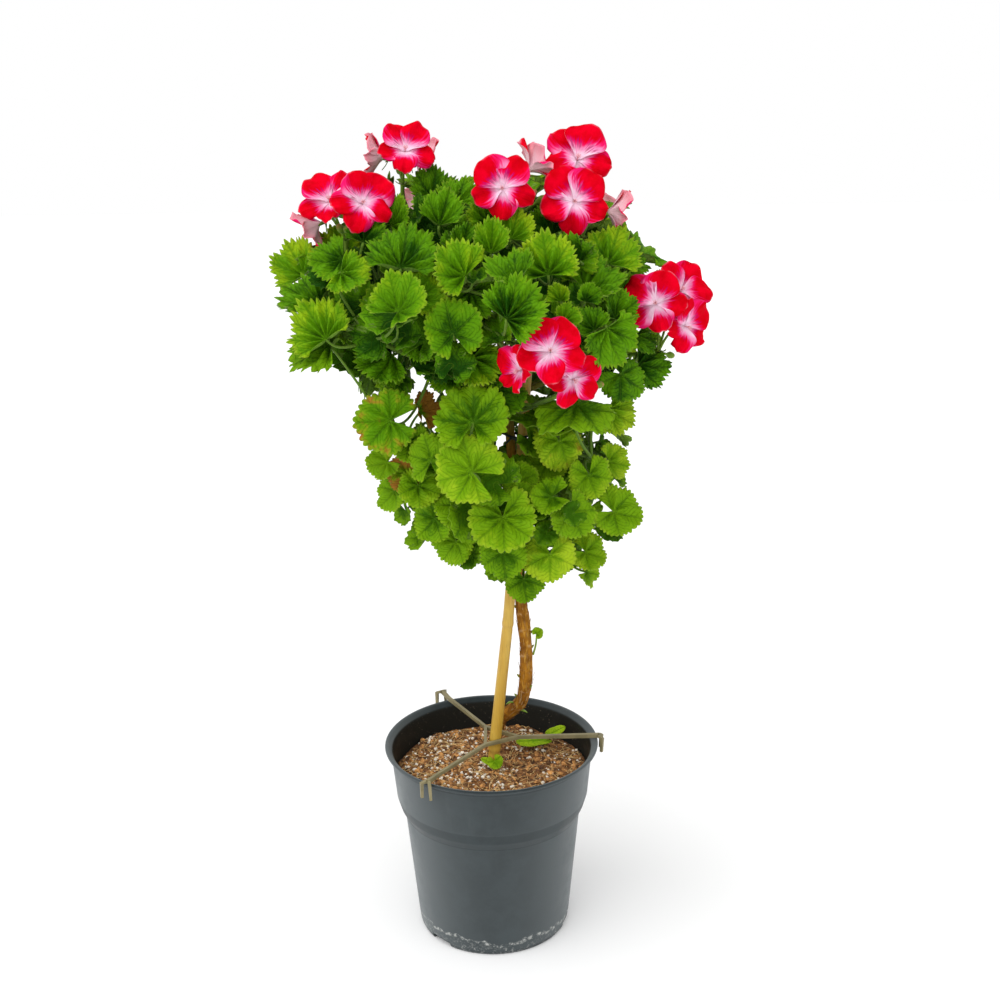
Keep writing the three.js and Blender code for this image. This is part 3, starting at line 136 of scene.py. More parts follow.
LEAF_VALUES = ("kind", "seen", "depth", "face", "tip", "size", "cup", "fold")
FRONT_LEAVES = [dict(zip(LEAF_VALUES, row)) for row in [
    ("fan", (434, 186), -10, (10, 40), 10, 38, 0.4),
    ("fan", (401, 214), -50, (-25, 30), 30, 38, 0.6),
    ("fan", (444, 212), -60, (5, 40), 20, 42, 0.3, 0.7),
    ("fan", (404, 253), -94, (5, 50), 12, 52, 0.35),
    ("fan", (450, 266), -110, (15, 30), -50, 44, 0.4),
    ("fan", (464, 240), -82, (25, 25), 10, 34, 0.5),
    ("fan", (492, 240), -84, (0, 38), 5, 38, 0.3, 0.9),
    ("fan", (504, 275), -116, (-5, 62), -50, 42, 0.4, 0.3),
    ("fan", (546, 256), -98, (-8, 22), -8, 48, 0.4),
    ("fan", (520, 303), -124, (-15, 38), 35, 52, 0.5),
    ("fan", (560, 292), -108, (-20, 20), -5, 22, 0.8),
    ("fan", (586, 292), -100, (25, 20), 15, 24, 0.8),
    ("fan", (568, 314), -114, (10, 40), 60, 24, 0.7),
    ("fan", (612, 250), -40, (15, 42), 25, 48, 0.3),
    ("fan", (634, 262), -10, (30, 40), 75, 30, 0.3),
    ("fan", (600, 284), -76, (10, 62), 60, 50, 0.4),
    ("fan", (616, 306), -84, (25, 24), 15, 34, 0.4, 0.4),
    ("fan", (588, 322), -106, (0, 35), -30, 28, 0.6),
    ("fan", (606, 340), -98, (20, 30), 150, 46, 0.2),
    ("fan", (643, 344), -42, (50, 25), 160, 30, 0.3),
    ("fan", (652, 368), -38, (25, 40), 112, 40, 0.2),
    ("round", (624, 376), -66, (20, 40), 130, 42, -0.2),
    ("round", (572, 404), -92, (0, 72), 175, 62, -0.25),
    ("fan", (620, 416), -34, (35, 18), 130, 38, 0.1),
    ("fan", (481, 370), -84, (10, 32), 150, 38, 0.2),
    ("round", (498, 393), -76, (0, 70), 150, 46, -0.2),
    ("round", (452, 330), -114, (5, 24), -12, 48, 0.4),
    ("round", (401, 308), -122, (-8, 42), 30, 54, 0.75),
    ("fan", (318, 325), -86, (-20, 34), -40, 50, 0.3),
    ("fan", (311, 345), -76, (-10, 76), -95, 52, -0.15),
    ("fan", (304, 299), -56, (-20, 56), -80, 50, 0.35),
    ("fan", (300, 257), -26, (-30, 38), -45, 46, 0.4),
    ("fan", (328, 264), -74, (-10, 46), -110, 40, 0.3),
    ("fan", (356, 276), -94, (5, 50), 125, 36, 0.3),
    ("fan", (376, 362), -70, (-10, 36), -118, 46, 0.15),
    ("fan", (429, 347), -76, (10, 24), 140, 34, 0.3),
    ("fan", (444, 380), -58, (-10, 30), -150, 34, 0.3),
    ("fan", (342, 246), -16, (-15, 34), -10, 42, 0.5),
    ("fan", (458, 196), -18, (10, 44), 25, 34, 0.5),
    ("fan", (477, 214), -56, (-10, 38), -30, 30, 0.6),
    ("fan", (514, 228), -64, (10, 42), 20, 36, 0.5),
    ("fan", (546, 222), -36, (-10, 38), -20, 38, 0.5),
    ("fan", (578, 266), -66, (20, 26), 20, 38, 0.5),
    ("fan", (372, 232), -60, (-10, 30), 20, 34, 0.5),
    ("fan", (424, 290), -96, (10, 40), 60, 36, 0.4),
    ("fan", (476, 305), -100, (10, 30), 160, 36, 0.2),
    ("round", (570, 442), -52, (5, 24), 165, 44, -0.15),
    ("round", (611, 462), -18, (40, 22), 120, 34, 0.4),
    ("round", (590, 478), -48, (15, 20), 170, 38, 0.2),
    ("round", (546, 466), -28, (-15, 18), -160, 36, 0.2),
    ("round", (549, 497), -76, (-10, 44), -100, 34, 0.3),
    ("round", (567, 514), -62, (15, 18), 150, 42, 0.2),
    ("round", (617, 513), -38, (10, 34), 112, 44, 0.2),
    ("round", (550, 558), -66, (0, 16), 180, 44, -0.15),
    ("round", (588, 553), -36, (20, 34), 120, 34, 0.2),
    ("round", (588, 572), -26, (60, 12), 120, 28, 0.2),
    ("round", (503, 522), -92, (0, 34), 178, 58, 0.35),
    ("round", (503, 556), -72, (-5, 14), 172, 40, 0.1),
    ("round", (524, 582), -28, (5, 8), 175, 36, 0.2),
    ("round", (468, 470), -106, (-5, 26), -62, 56, 0.25),
    ("round", (470, 422), -86, (0, 36), -14, 60, 0.3),
    ("round", (386, 412), -58, (-14, 26), -100, 52, 0.2),
    ("round", (421, 409), -34, (62, 20), 35, 36, 0.5),
    ("round", (409, 444), -60, (0, 22), -170, 34, 0.2),
    ("round", (385, 463), -40, (-30, 30), -115, 32, 0.3),
    ("round", (404, 471), -42, (-10, 22), -90, 30, 0.2),
    ("round", (429, 459), -72, (-38, 20), -12, 40, 0.2),
    ("round", (421, 489), -50, (0, 30), -170, 36, 0.2),
    ("round", (393, 493), -34, (-40, 14), -150, 34, 0.3),
    ("round", (433, 521), -50, (-25, 16), -145, 38, 0.2),
    ("round", (454, 544), -50, (-20, 12), -150, 36, 0.2),
    ("round", (458, 509), -58, (0, 20), -155, 36, 0.1),
    ("round", (520, 479), -46, (0, 12), 0, 32, 0.3),
    ("round", (523, 498), -72, (10, 36), 60, 28, 0.2),
]]

TIERS = [
    {"kind": "fan", "count": 58, "middle": [-4, 2, 580], "reach": [146, 130, 86],
     "size": [52, 70], "seed": 11},
    {"kind": "round", "count": 32, "middle": [24, 2, 424], "reach": [102, 90, 82],
     "size": [44, 60], "seed": 47},
]

# Heads: where the stalks part, and each bloom and bud, by where it is seen and its depth. What lies
# at the back has its place in the part's frame and no depth.
BLOOM_VALUES = ("seen", "depth", "face", "tip", "size", "open")
HEADS = {
    "a": {
        "shoot": "upper_a", "umbel": ([403, 184], 2),
        "blooms": [
            ([405, 152], -16, [10, 40], 6, 48, 0.9),
            ([386, 157], -4, [-94, 12], -10, 46, 0.56),
            ([415, 160], 12, [98, -16], 20, 44, 0.62),
        ],
        "buds": [([398, 165], 12)],
    },
    "b": {
        "shoot": "upper_b", "umbel": ([346, 240], -34),
        "blooms": [
            ([362, 204], -58, [16, 26], 20, 50, 0.9),
            ([330, 202], -46, [-16, 42], -8, 50, 0.86),
            ([322, 222], -36, [-98, -24], -10, 46, 0.56),
        ],
        "buds": [([347, 227], -54), ([338, 224], -42)],
    },
    "c": {
        "shoot": "upper_c", "umbel": ([516, 217], -36),
        "blooms": [
            ([503, 189], -66, [-6, 18], 0, 50, 1),
            ([527, 172], -38, [112, 40], 0, 48, 0.58),
        ],
        "buds": [([536, 190], -46), ([546, 196], -40)],
    },
    "d": {
        "shoot": "upper_d", "umbel": ([582, 238], -26),
        "blooms": [
            ([577, 161], -12, [6, 44], -4, 58, 0.9),
            ([574, 202], -54, [4, 18], 4, 54, 1),
            ([606, 212], -24, [98, -8], 10, 50, 0.6),
        ],
        "buds": [([590, 218], -10)],
    },
    "e": {
        "shoot": "upper_e", "umbel": ([658, 352], -22),
        "blooms": [
            ([656, 304], -44, [-14, 24], -20, 52, 0.95),
            ([680, 292], -14, [16, 40], -6, 52, 0.8),
            ([684, 326], -34, [36, 4], 20, 48, 0.9),
        ],
        "buds": [([651, 338], -16), ([674, 356], -10)],
    },
    "f": {
        "shoot": "upper_f", "umbel": ([562, 392], -104),
        "blooms": [
            ([550, 352], -134, [0, 30], 0, 52, 1),
            ([523, 370], -118, [-52, 6], -20, 42, 0.7),
            ([572, 379], -122, [22, 4], 20, 44, 0.85),
        ],
        "buds": [([604, 384], -96), ([594, 393], -106)],
    },
    "g": {
        "shoot": "upper_g", "umbel": ([-72, 104, 604], None),
        "blooms": [
            ([-92, 128, 622], None, [212, 26], 8, 48, 0.9),
            ([-56, 132, 628], None, [166, 34], -12, 46, 0.8),
        ],
        "buds": [([-78, 116, 632], None)],
    },
    "h": {
        "shoot": "upper_h", "umbel": ([82, 112, 596], None),
        "blooms": [
            ([66, 140, 614], None, [184, 30], -6, 50, 0.95),
            ([104, 128, 620], None, [140, 28], 14, 46, 0.8),
        ],
        "buds": [([88, 122, 624], None)],
    },
}
for head in HEADS.values():
    head["blooms"] = [dict(zip(BLOOM_VALUES, row)) for row in head["blooms"]]

PETALS = [
    {"turn": -35, "long": 0.53, "wide": 0.56, "lean": 66},
    {"turn": 35, "long": 0.53, "wide": 0.56, "lean": 70},
    {"turn": 107, "long": 0.49, "wide": 0.5, "lean": 80},
    {"turn": 180, "long": 0.48, "wide": 0.5, "lean": 84},
    {"turn": 253, "long": 0.49, "wide": 0.5, "lean": 80},
]

LEAF_FORMS = {
    "fan": {"span": 106, "lobes": 7, "middle": 0.5, "stretch": 0.16, "notch": 0.1,
            "seat": 0.3, "wide": 1},
    "round": {"span": 158, "lobes": 7, "middle": 0.49, "stretch": 0.05, "notch": 0.07,
              "seat": 0.07, "wide": 1},
    "narrow": {"span": 150, "lobes": 5, "middle": 0.4, "stretch": 0.4, "notch": 0.02,
               "seat": 0.3, "wide": 0.4},
}

EYE = {"x": 10.9, "y": -1171.2, "z": 769.5, "pitch": 17.455, "roll": -0.869, "focal": 1450, "middle": 500}

POT_OUTLINE = [
    [0, 0], [66.2, 0], [67.8, 3], [68.7, 9.3], [78.6, 111.8], [82.6, 119.5],
    [85.6, 129.5], [89.4, 168.5], [90.3, 171.6], [94.6, 173.8], [95, 175.5],
    [94.2, 176.7], [92, 176.2], [88.6, 172.5], [87.6, 167], [84, 129], [80.8, 120],
    [76.9, 112], [67, 11], [60, 3], [0, 3],
]

SOIL_WALL = [
    [59.6, 3.3], [66.5, 11.2], [76.4, 112.1], [80.3, 120.2], [83.5, 129.2], [85.3, 148],
]


# Camera
def make_camera():
    """A camera at the eye, pitched down and rolled a little, with the eye's focal length."""
    data = bpy.data.cameras.new("camera")
    data.sensor_width = 36.0
    data.lens = 36.0 * EYE["focal"] / (2 * EYE["middle"])
    camera = bpy.data.objects.new("camera", data)
    scene.collection.objects.link(camera)
    pitch = Matrix.Rotation(radians(90 - EYE["pitch"]), 4, "X")
    roll = Matrix.Rotation(radians(EYE["roll"]), 4, "Z")
    place = Matrix.Translation(Vector((EYE["x"], EYE["y"], EYE["z"])) * MM)
    camera.matrix_world = place @ pitch @ roll
    scene.camera = camera


make_camera()


# Numbers that look random but depend on their seed alone
def chance(seed):
    """From 0 to 1: the seed is multiplied and folded over itself in 32 bits. Works on arrays."""
    word = np.uint64(0xFFFFFFFF)
    t = (np.asarray(seed).astype(np.uint64) + np.uint64(1)) * np.uint64(0x6D2B79F5) & word
    t = (t ^ (t >> np.uint64(15))) * (t | np.uint64(1)) & word
    t = t ^ (t + ((t ^ (t >> np.uint64(7))) * (t | np.uint64(61)) & word) & word)
    return ((t ^ (t >> np.uint64(14))) & word).astype(float) / 4294967296.0


def lattice(cell, seed):
    """A chance for each whole-numbered cell (x, y, z)."""
    cell = cell.astype(np.int64) + 4096
    return chance(cell[..., 0] * 73 + cell[..., 1] * 9341 + cell[..., 2] * 1201999 + seed * 77777)


def rough(points, scale, seed=0):
    """Value noise from -1 to 1: the chances at a cell's eight corners, blended by smooth steps."""
    place = np.asarray(points) / scale
    low = np.floor(place)
    part = place - low
    part = part * part * (3 - 2 * part)
    total = 0
    for dx in (0, 1):
        for dy in (0, 1):
            for dz in (0, 1):
                share = np.ones(part.shape[:-1])
                for axis, d in enumerate((dx, dy, dz)):
                    share = share * (part[..., axis] if d else 1 - part[..., axis])
                total = total + share * lattice(low + (dx, dy, dz), seed)
    return 2 * total - 1


def unit(vectors):
    """Each vector over its own length."""
    vectors = np.asarray(vectors, float)
    return vectors / np.maximum(np.linalg.norm(vectors, axis=-1, keepdims=True), 1e-9)


# Where things are, by the part's own rules
def sight(px, py, y):
    """The place at depth y that is seen at px, py of a frame of 1000 by 1000."""
    roll = radians(EYE["roll"])
    pitch = radians(EYE["pitch"])
    right = cos(roll) * (px - EYE["middle"]) + sin(roll) * (py - EYE["middle"])
    down = -sin(roll) * (px - EYE["middle"]) + cos(roll) * (py - EYE["middle"])
    ahead = cos(pitch) * EYE["focal"] - sin(pitch) * down
    rise = -sin(pitch) * EYE["focal"] - cos(pitch) * down
    reach = (y - EYE["y"]) / ahead
    return np.array([EYE["x"] + right * reach, y, EYE["z"] + rise * reach])


def place_of(seen, depth):
    """A place by where it is seen and its depth, or given outright, with no depth."""
    return np.array(seen, float) if depth is None else sight(*seen, depth)


def axes_of(face, tip):
    """Axes of blades, as rows: a across, b to the tip, n out of the upper side."""
    t = np.radians(np.asarray(tip, float))
    turn, lift = np.radians(face[0]), np.radians(face[1])
    t, turn, lift = np.broadcast_arrays(t, turn, lift)
    zero = np.zeros_like(t)

    def pose(x, y, z):
        """Lifted about the x axis, then turned about the z axis."""
        y1 = y * np.cos(lift) + z * np.sin(lift)
        z1 = -y * np.sin(lift) + z * np.cos(lift)
        return np.stack([x * np.cos(turn) - y1 * np.sin(turn), x * np.sin(turn) + y1 * np.cos(turn), z1], -1)

    across = pose(np.cos(t), zero, -np.sin(t))
    onward = pose(np.sin(t), zero, np.cos(t))
    return across, onward, pose(zero, zero - 1, zero)


def curve(start, bend, end, steps):
    """steps + 1 points of (1-t)^2 start + 2t(1-t) bend + t^2 end."""
    t = np.linspace(0, 1, steps + 1)[:, None]
    start, bend, end = (np.asarray(p, float) for p in (start, bend, end))
    return (1 - t) ** 2 * start + 2 * t * (1 - t) * bend + t ** 2 * end


def at_height(line, radii, height):
    """A middle line's point and radius at a height, between its corners."""
    line = np.asarray(line, float)
    point = np.array([np.interp(height, line[:, 2], line[:, k]) for k in range(3)])
    return point, float(np.interp(height, line[:, 2], radii))


def smooth_line(points, values, steps):
    """A spline through points (Catmull-Rom), with values blended along it."""
    points = np.asarray(points, float)
    wide = np.vstack([2 * points[0] - points[1], points, 2 * points[-1] - points[-2]])
    t = np.linspace(0, len(points) - 1, steps + 1)
    i = np.minimum(t.astype(int), len(points) - 2)
    f = (t - i)[:, None]
    p0, p1, p2, p3 = (wide[i + k] for k in range(4))
    line = 0.5 * (2 * p1 + (p2 - p0) * f + (2 * p0 - 5 * p1 + 4 * p2 - p3) * f ** 2
                  + (3 * p1 - p0 - 3 * p2 + p3) * f ** 3)
    return line, np.interp(t, np.arange(len(points)), values)


def bend_amounts(tries):
    """How far and which way each try turns: try^0.45 and try times the golden angle."""
    tries = np.asarray(tries, float)
    return tries ** 0.45, tries * BEND_TURN


def face_of(looks):
    """Turn and lift, in degrees, of a blade that looks along a unit vector."""
    return [degrees(atan2(looks[0], -looks[1])), degrees(asin(looks[2]))]


def leaf_lobes(leaf):
    """A leaf's own number of lobes, or that of its kind, with fewer on a small leaf."""
    form = LEAF_FORMS[leaf["kind"]]
    return leaf.get("lobes") or (SMALL_LOBES if leaf["size"] < SMALL_SIZE else form["lobes"])


def leaf_rim(leaf):
    """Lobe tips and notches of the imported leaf's rim in its own axes.

    Reach = size (middle + stretch cos theta), less the notch between two tips; it is laid over to
    rise with cup + fold |sin theta|, and waves by 0.05 sin(3 theta + phase) of the size.
    """
    form = LEAF_FORMS[leaf["kind"]]
    steps = 2 * leaf_lobes(leaf)
    i = np.arange(steps + 1)
    theta = radians(form["span"]) * (2 * i / steps - 1)
    tip = i % 2 == 1
    notch = np.where(tip, 0, form["notch"])
    reach = leaf["size"] * (form["middle"] + form["stretch"] * np.cos(theta) - notch)
    rise = leaf["cup"] + leaf.get("fold", 0) * np.abs(np.sin(theta))
    wave = 0.05 * np.sin(3 * theta + leaf["phase"]) + np.where(tip, 0.02, -0.02)
    level = reach / np.hypot(1, rise)
    height = form["wide"] * leaf["size"] * wave + level * rise
    return np.stack([form["wide"] * level * np.sin(theta), level * np.cos(theta), height], -1)


def bent_leaf(leaf, tries):
    """Roots and axes of a leaf at several tries, each turned and shifted a little further."""
    amount, turn = bend_amounts(tries)
    face = (leaf["face"][0] + 3 * amount * np.cos(turn), leaf["face"][1] + 3 * amount * np.sin(turn))
    a, b, n = axes_of(face, leaf["tip"] + 2 * amount * np.sin(1.7 * turn))
    push = n * (1.4 * amount * np.sin(1.3 * turn))[:, None] + a * (amount * np.cos(2.1 * turn))[:, None]
    root = leaf["place"] + push - b * (leaf["size"] * LEAF_FORMS[leaf["kind"]]["seat"])
    sway = a * (2.5 * amount * np.cos(3.1 * turn))[:, None]
    return root, (a, b, n), sway


def shoot_line(shoot, steps):
    """steps + 1 points of a shoot, from the stem's middle to its tip."""
    start = at_height(STEM_LINE, STEM_RADII, shoot["from"])[0]
    return curve(start, shoot["bend"], shoot["end"], steps)


def nearest_shoots(place):
    """Shoots by how near they pass to a place, with the nearest point of each."""
    ways = []
    for name, shoot in SHOOTS.items():
        points = shoot_line(shoot, 12)[4:]
        fars = np.linalg.norm(points - place, axis=1)
        ways.append((fars.min(), name, points[fars.argmin()]))
    return sorted(ways, key=lambda way: way[0])


def tier_leaves(tier):
    """Leaves of a tier of the sides and the back, spread by the golden angle over an ellipsoid."""
    leaves = []
    for i in range(tier["count"]):
        seed = tier["seed"] * 1000 + i * 7
        height = 1 - 2 * (i + 0.5) / tier["count"]
        turn = i * BEND_TURN
        level = sqrt(1 - height * height)
        out = np.array([level * cos(turn), level * sin(turn), height])
        if not out[1] > 0.12 - 0.25 * abs(out[0]) or out[2] < -0.8:
            continue
        draw = chance(seed + np.arange(6))
        place = np.array(tier["middle"]) + np.array(tier["reach"]) * (0.86 + 0.14 * draw[0]) * out
        looks = unit(out + np.array([0, 0, 0.45 + 0.4 * draw[1]]))
        leaves.append({
            "kind": tier["kind"], "place": place, "lobes": SMALL_LOBES, "face": face_of(looks),
            "tip": 180 + 150 * (draw[2] - 0.5), "cup": 0.15 + 0.35 * draw[4],
            "phase": tau * draw[5],
            "size": tier["size"][0] + (tier["size"][1] - tier["size"][0]) * draw[3],
        })
    return leaves


def node_points(name):
    """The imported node's corners, in millimetres."""
    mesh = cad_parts[name].data
    points = np.empty(3 * len(mesh.vertices))
    mesh.vertices.foreach_get("co", points)
    return points.reshape(-1, 3) / MM


def matches(points, corners):
    """For each set of points (tries, count, 3), the share that lies on the node's corners."""
    flat = points.reshape(-1, 3)
    gap = ((flat[:, None, :] - corners[None, :, :]) ** 2).sum(-1).min(1)
    return (gap < MATCH_NEAR ** 2).reshape(points.shape[:2]).mean(1)


def behind_leaf(root, b, n, long):
    """The corner of a petiole's curve: behind the blade's root by shares of the petiole's length."""
    return root - n * 0.38 * long - b * 0.22 * long


def find_leaf(leaf, corners_of):
    """The try at which the part holds this leaf: its shoot, root, axes and petiole, or None."""
    n0 = axes_of(leaf["face"], leaf["tip"])[2]
    ways = nearest_shoots(leaf["place"] - 0.5 * leaf["size"] * n0)
    rim = leaf_rim(leaf)
    best = (MATCH_SHARE, None)
    for k in range(SHOOT_CHOICE):
        root, (a, b, n), sway = bent_leaf(leaf, np.arange(k, TRIES, SHOOT_CHOICE))
        points = (root[:, None] + a[:, None] * rim[None, :, :1] + b[:, None] * rim[None, :, 1:2]
                  + n[:, None] * rim[None, :, 2:])
        share = matches(points, corners_of[ways[k][1]])
        i = int(share.argmax())
        if share[i] > best[0]:
            long = np.linalg.norm(root[i] - ways[k][2])
            best = (share[i], {"shoot": ways[k][1], "root": root[i], "axes": (a[i], b[i], n[i]),
                               "start": ways[k][2],
                               "behind": behind_leaf(root[i], b[i], n[i], long) + sway[i]})
    return best[1]


# Meshes from arrays
class Sheaf:
    """Collects corners, faces and their values, and becomes one mesh."""

    def __init__(self):
        self.points, self.quads, self.tris = [], [], []
        self.quad_uv, self.tri_uv, self.tints = [], [], []
        self.count = 0

    def add(self, points, quads, tris, uv, tint):
        """uv is a place on the material for each corner; tint is four values for each corner."""
        points = np.asarray(points, float)
        quads = np.asarray(quads, int).reshape(-1, 4)
        tris = np.asarray(tris, int).reshape(-1, 3)
        self.points.append(points)
        self.quads.append(quads + self.count)
        self.tris.append(tris + self.count)
        self.quad_uv.append(uv[quads].reshape(-1, 2))
        self.tri_uv.append(uv[tris].reshape(-1, 2))
        tint = np.broadcast_to(np.asarray(tint, float), (len(points), 4))
        self.tints.append(tint)
        self.count += len(points)

    def mesh(self, name):
        """The mesh in metres, smooth, with its places on the material and its tints."""
        points = np.concatenate(self.points) * MM
        quads, tris = np.concatenate(self.quads), np.concatenate(self.tris)
        mesh = bpy.data.meshes.new(name)
        mesh.vertices.add(len(points))
        mesh.vertices.foreach_set("co", points.ravel())
        loops = np.concatenate([quads.ravel(), tris.ravel()])
        mesh.loops.add(len(loops))
        mesh.loops.foreach_set("vertex_index", loops)
        sizes = np.concatenate([np.full(len(quads), 4), np.full(len(tris), 3)])
        mesh.polygons.add(len(sizes))
        mesh.polygons.foreach_set("loop_start", np.concatenate([[0], np.cumsum(sizes)[:-1]]))
        mesh.polygons.foreach_set("use_smooth", np.ones(len(sizes), bool))
        uv = mesh.uv_layers.new(name="blade")
        uv.data.foreach_set("uv", np.concatenate(self.quad_uv + self.tri_uv).ravel())
        tint = mesh.color_attributes.new(name="tint", type="FLOAT_COLOR", domain="POINT")
        tint.data.foreach_set("color", np.concatenate(self.tints).ravel())
        mesh.update(calc_edges=True)
        mesh.validate()
        return mesh


def shown(sheaf, name, material, slot, *nodes):
    """Puts a sheaf into the scene as a piece that rides on the plant and stands for CAD nodes."""
    piece = bpy.data.objects.new(name, sheaf.mesh(name))
    scene.collection.objects.link(piece)
    piece.data.materials.append(material)
    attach(piece, "root")
    if nodes:
        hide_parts(*nodes)
    return piece


def ring_frames(line):
    """Two directions square to a line at each point, turned as little as possible on the way."""
    along = unit(np.gradient(line, axis=0))
    side = np.array([0.2, -0.9, 0.4])
    sides = []
    for ahead in along:
        side = unit(side - ahead * np.dot(side, ahead))
        sides.append(side)
    sides = np.array(sides)
    return sides, np.cross(along, sides)


def ring_faces(rows, count):
    """Quads between rows of count corners each, and triangles that close the first and the last
    row on a point of their own."""
    r, k = np.meshgrid(np.arange(rows - 1), np.arange(count), indexing="ij")
    low, beside = (r * count + k).ravel(), (r * count + (k + 1) % count).ravel()
    quads = np.stack([low, beside, beside + count, low + count], -1)
    k = np.arange(count)
    after, tail = (k + 1) % count, (rows - 1) * count
    first = np.stack([np.full(count, rows * count), after, k], -1)
    last = np.stack([np.full(count, rows * count + 1), tail + k, tail + after], -1)
    return quads, np.vstack([first, last])


def ring_uv(count, way):
    """uv = (share of the turn, way) for rows of count corners."""
    return np.stack(np.broadcast_arrays(np.arange(count)[None] / count, way[:, None]), -1).reshape(-1, 2)


def add_tube(sheaf, line, radii, count, tint, swell=None):
    """A closed tube: point + radius (1 + swell) (cos turn side + sin turn other), uv = (turn, way).

    The ends close on a middle point each.
    """
    line = np.asarray(line, float)
    rows = len(line)
    side, other = ring_frames(line)
    turn = np.arange(count) / count * tau
    out = np.cos(turn)[None, :, None] * side[:, None] + np.sin(turn)[None, :, None] * other[:, None]
    radius = np.broadcast_to(np.asarray(radii, float).reshape(-1, 1), (rows, count)).copy()
    if swell is not None:
        radius = radius * (1 + swell)
    body = (line[:, None] + out * radius[..., None]).reshape(-1, 3)
    points = np.vstack([body, line[:1], line[-1:]])
    way = np.concatenate([[0], np.cumsum(np.linalg.norm(np.diff(line, axis=0), axis=1))])
    uv = np.vstack([ring_uv(count, way), [[0, 0]], [[0, way[-1]]]])
    if np.ndim(tint) == 2:
        tint = np.vstack([np.repeat(tint, count, axis=0), tint[:1], tint[-1:]])
    sheaf.add(points, *ring_faces(rows, count), uv, tint)


def add_blade(sheaf, grid, uv, thickness, upper_tint, lower_tint):
    """A thin closed shell.

    grid (rows, columns, 3) runs from the root outwards, and its first row is one point. The lower
    side is the upper one moved by thickness against its normal, and a wall joins their edges.
    """
    rows, columns = grid.shape[:2]
    du = np.gradient(grid, axis=1)
    dv = np.gradient(grid, axis=0)
    normal = np.cross(du, dv)
    normal[0] = normal[1].mean(0)
    normal = unit(normal)
    keep = np.concatenate([[0], np.arange(columns, rows * columns)])
    upper = grid.reshape(-1, 3)[keep]
    lower = (grid - normal * thickness).reshape(-1, 3)[keep]
    half = len(upper)
    flat_uv = uv.reshape(-1, 2)[keep]

    def index(r, c):
        """The corner at row r and column c, with the first row's corners as one."""
        return np.where(r == 0, 0, 1 + (r - 1) * columns + c)

    r, c = np.meshgrid(np.arange(1, rows - 1), np.arange(columns - 1), indexing="ij")
    r, c = r.ravel(), c.ravel()
    quads = np.stack([index(r, c), index(r, c + 1), index(r + 1, c + 1), index(r + 1, c)], -1)
    c = np.arange(columns - 1)
    tris = np.stack([np.zeros_like(c), index(c * 0 + 1, c + 1), index(c * 0 + 1, c)], -1)
    outer = index(np.full(columns, rows - 1), np.arange(columns))
    left = index(np.arange(rows - 1, -1, -1), np.zeros(rows, int))
    right = index(np.arange(rows), np.full(rows, columns - 1))
    loop = np.concatenate([right[:-1], outer[::-1][:-1], left[:-1]])
    after = np.roll(loop, -1)
    walls = np.stack([loop, loop + half, after + half, after], -1)
    quads = np.vstack([quads, quads[:, ::-1] + half, walls])
    tris = np.vstack([tris, tris[:, ::-1] + half])
    tint = np.repeat([upper_tint, lower_tint], half, axis=0)
    sheaf.add(np.vstack([upper, lower]), quads, tris, np.vstack([flat_uv, flat_uv]), tint)


# Leaves
LEAF_EDGES = {
    "fan": {"teeth": 26, "depth": 0.075, "sharp": 1.5, "notch": 0.45, "round": 0.7,
            "pleat": 0.062, "ruffle": 0.034},
    "round": {"teeth": 28, "depth": 0.042, "sharp": 0.8, "notch": 0.35, "round": 0.8,
              "pleat": 0.03, "ruffle": 0.03},
    "narrow": {"teeth": 10, "depth": 0.02, "sharp": 1, "notch": 1, "round": 0.8,
               "pleat": 0.01, "ruffle": 0.01},
}
LEAF_ROWS, TOOTH_STEPS, PETIOLE_STEPS, PETIOLE_SIDES = 8, 4, 14, 7
COARSE_ROWS, COARSE_TOOTH_STEPS, COARSE_PETIOLE_STEPS, COARSE_PETIOLE_SIDES = 2, 2, 6, 4
COARSE_TEETH = 3  # teeth a lobe
BLADE_SHELL = 0.45


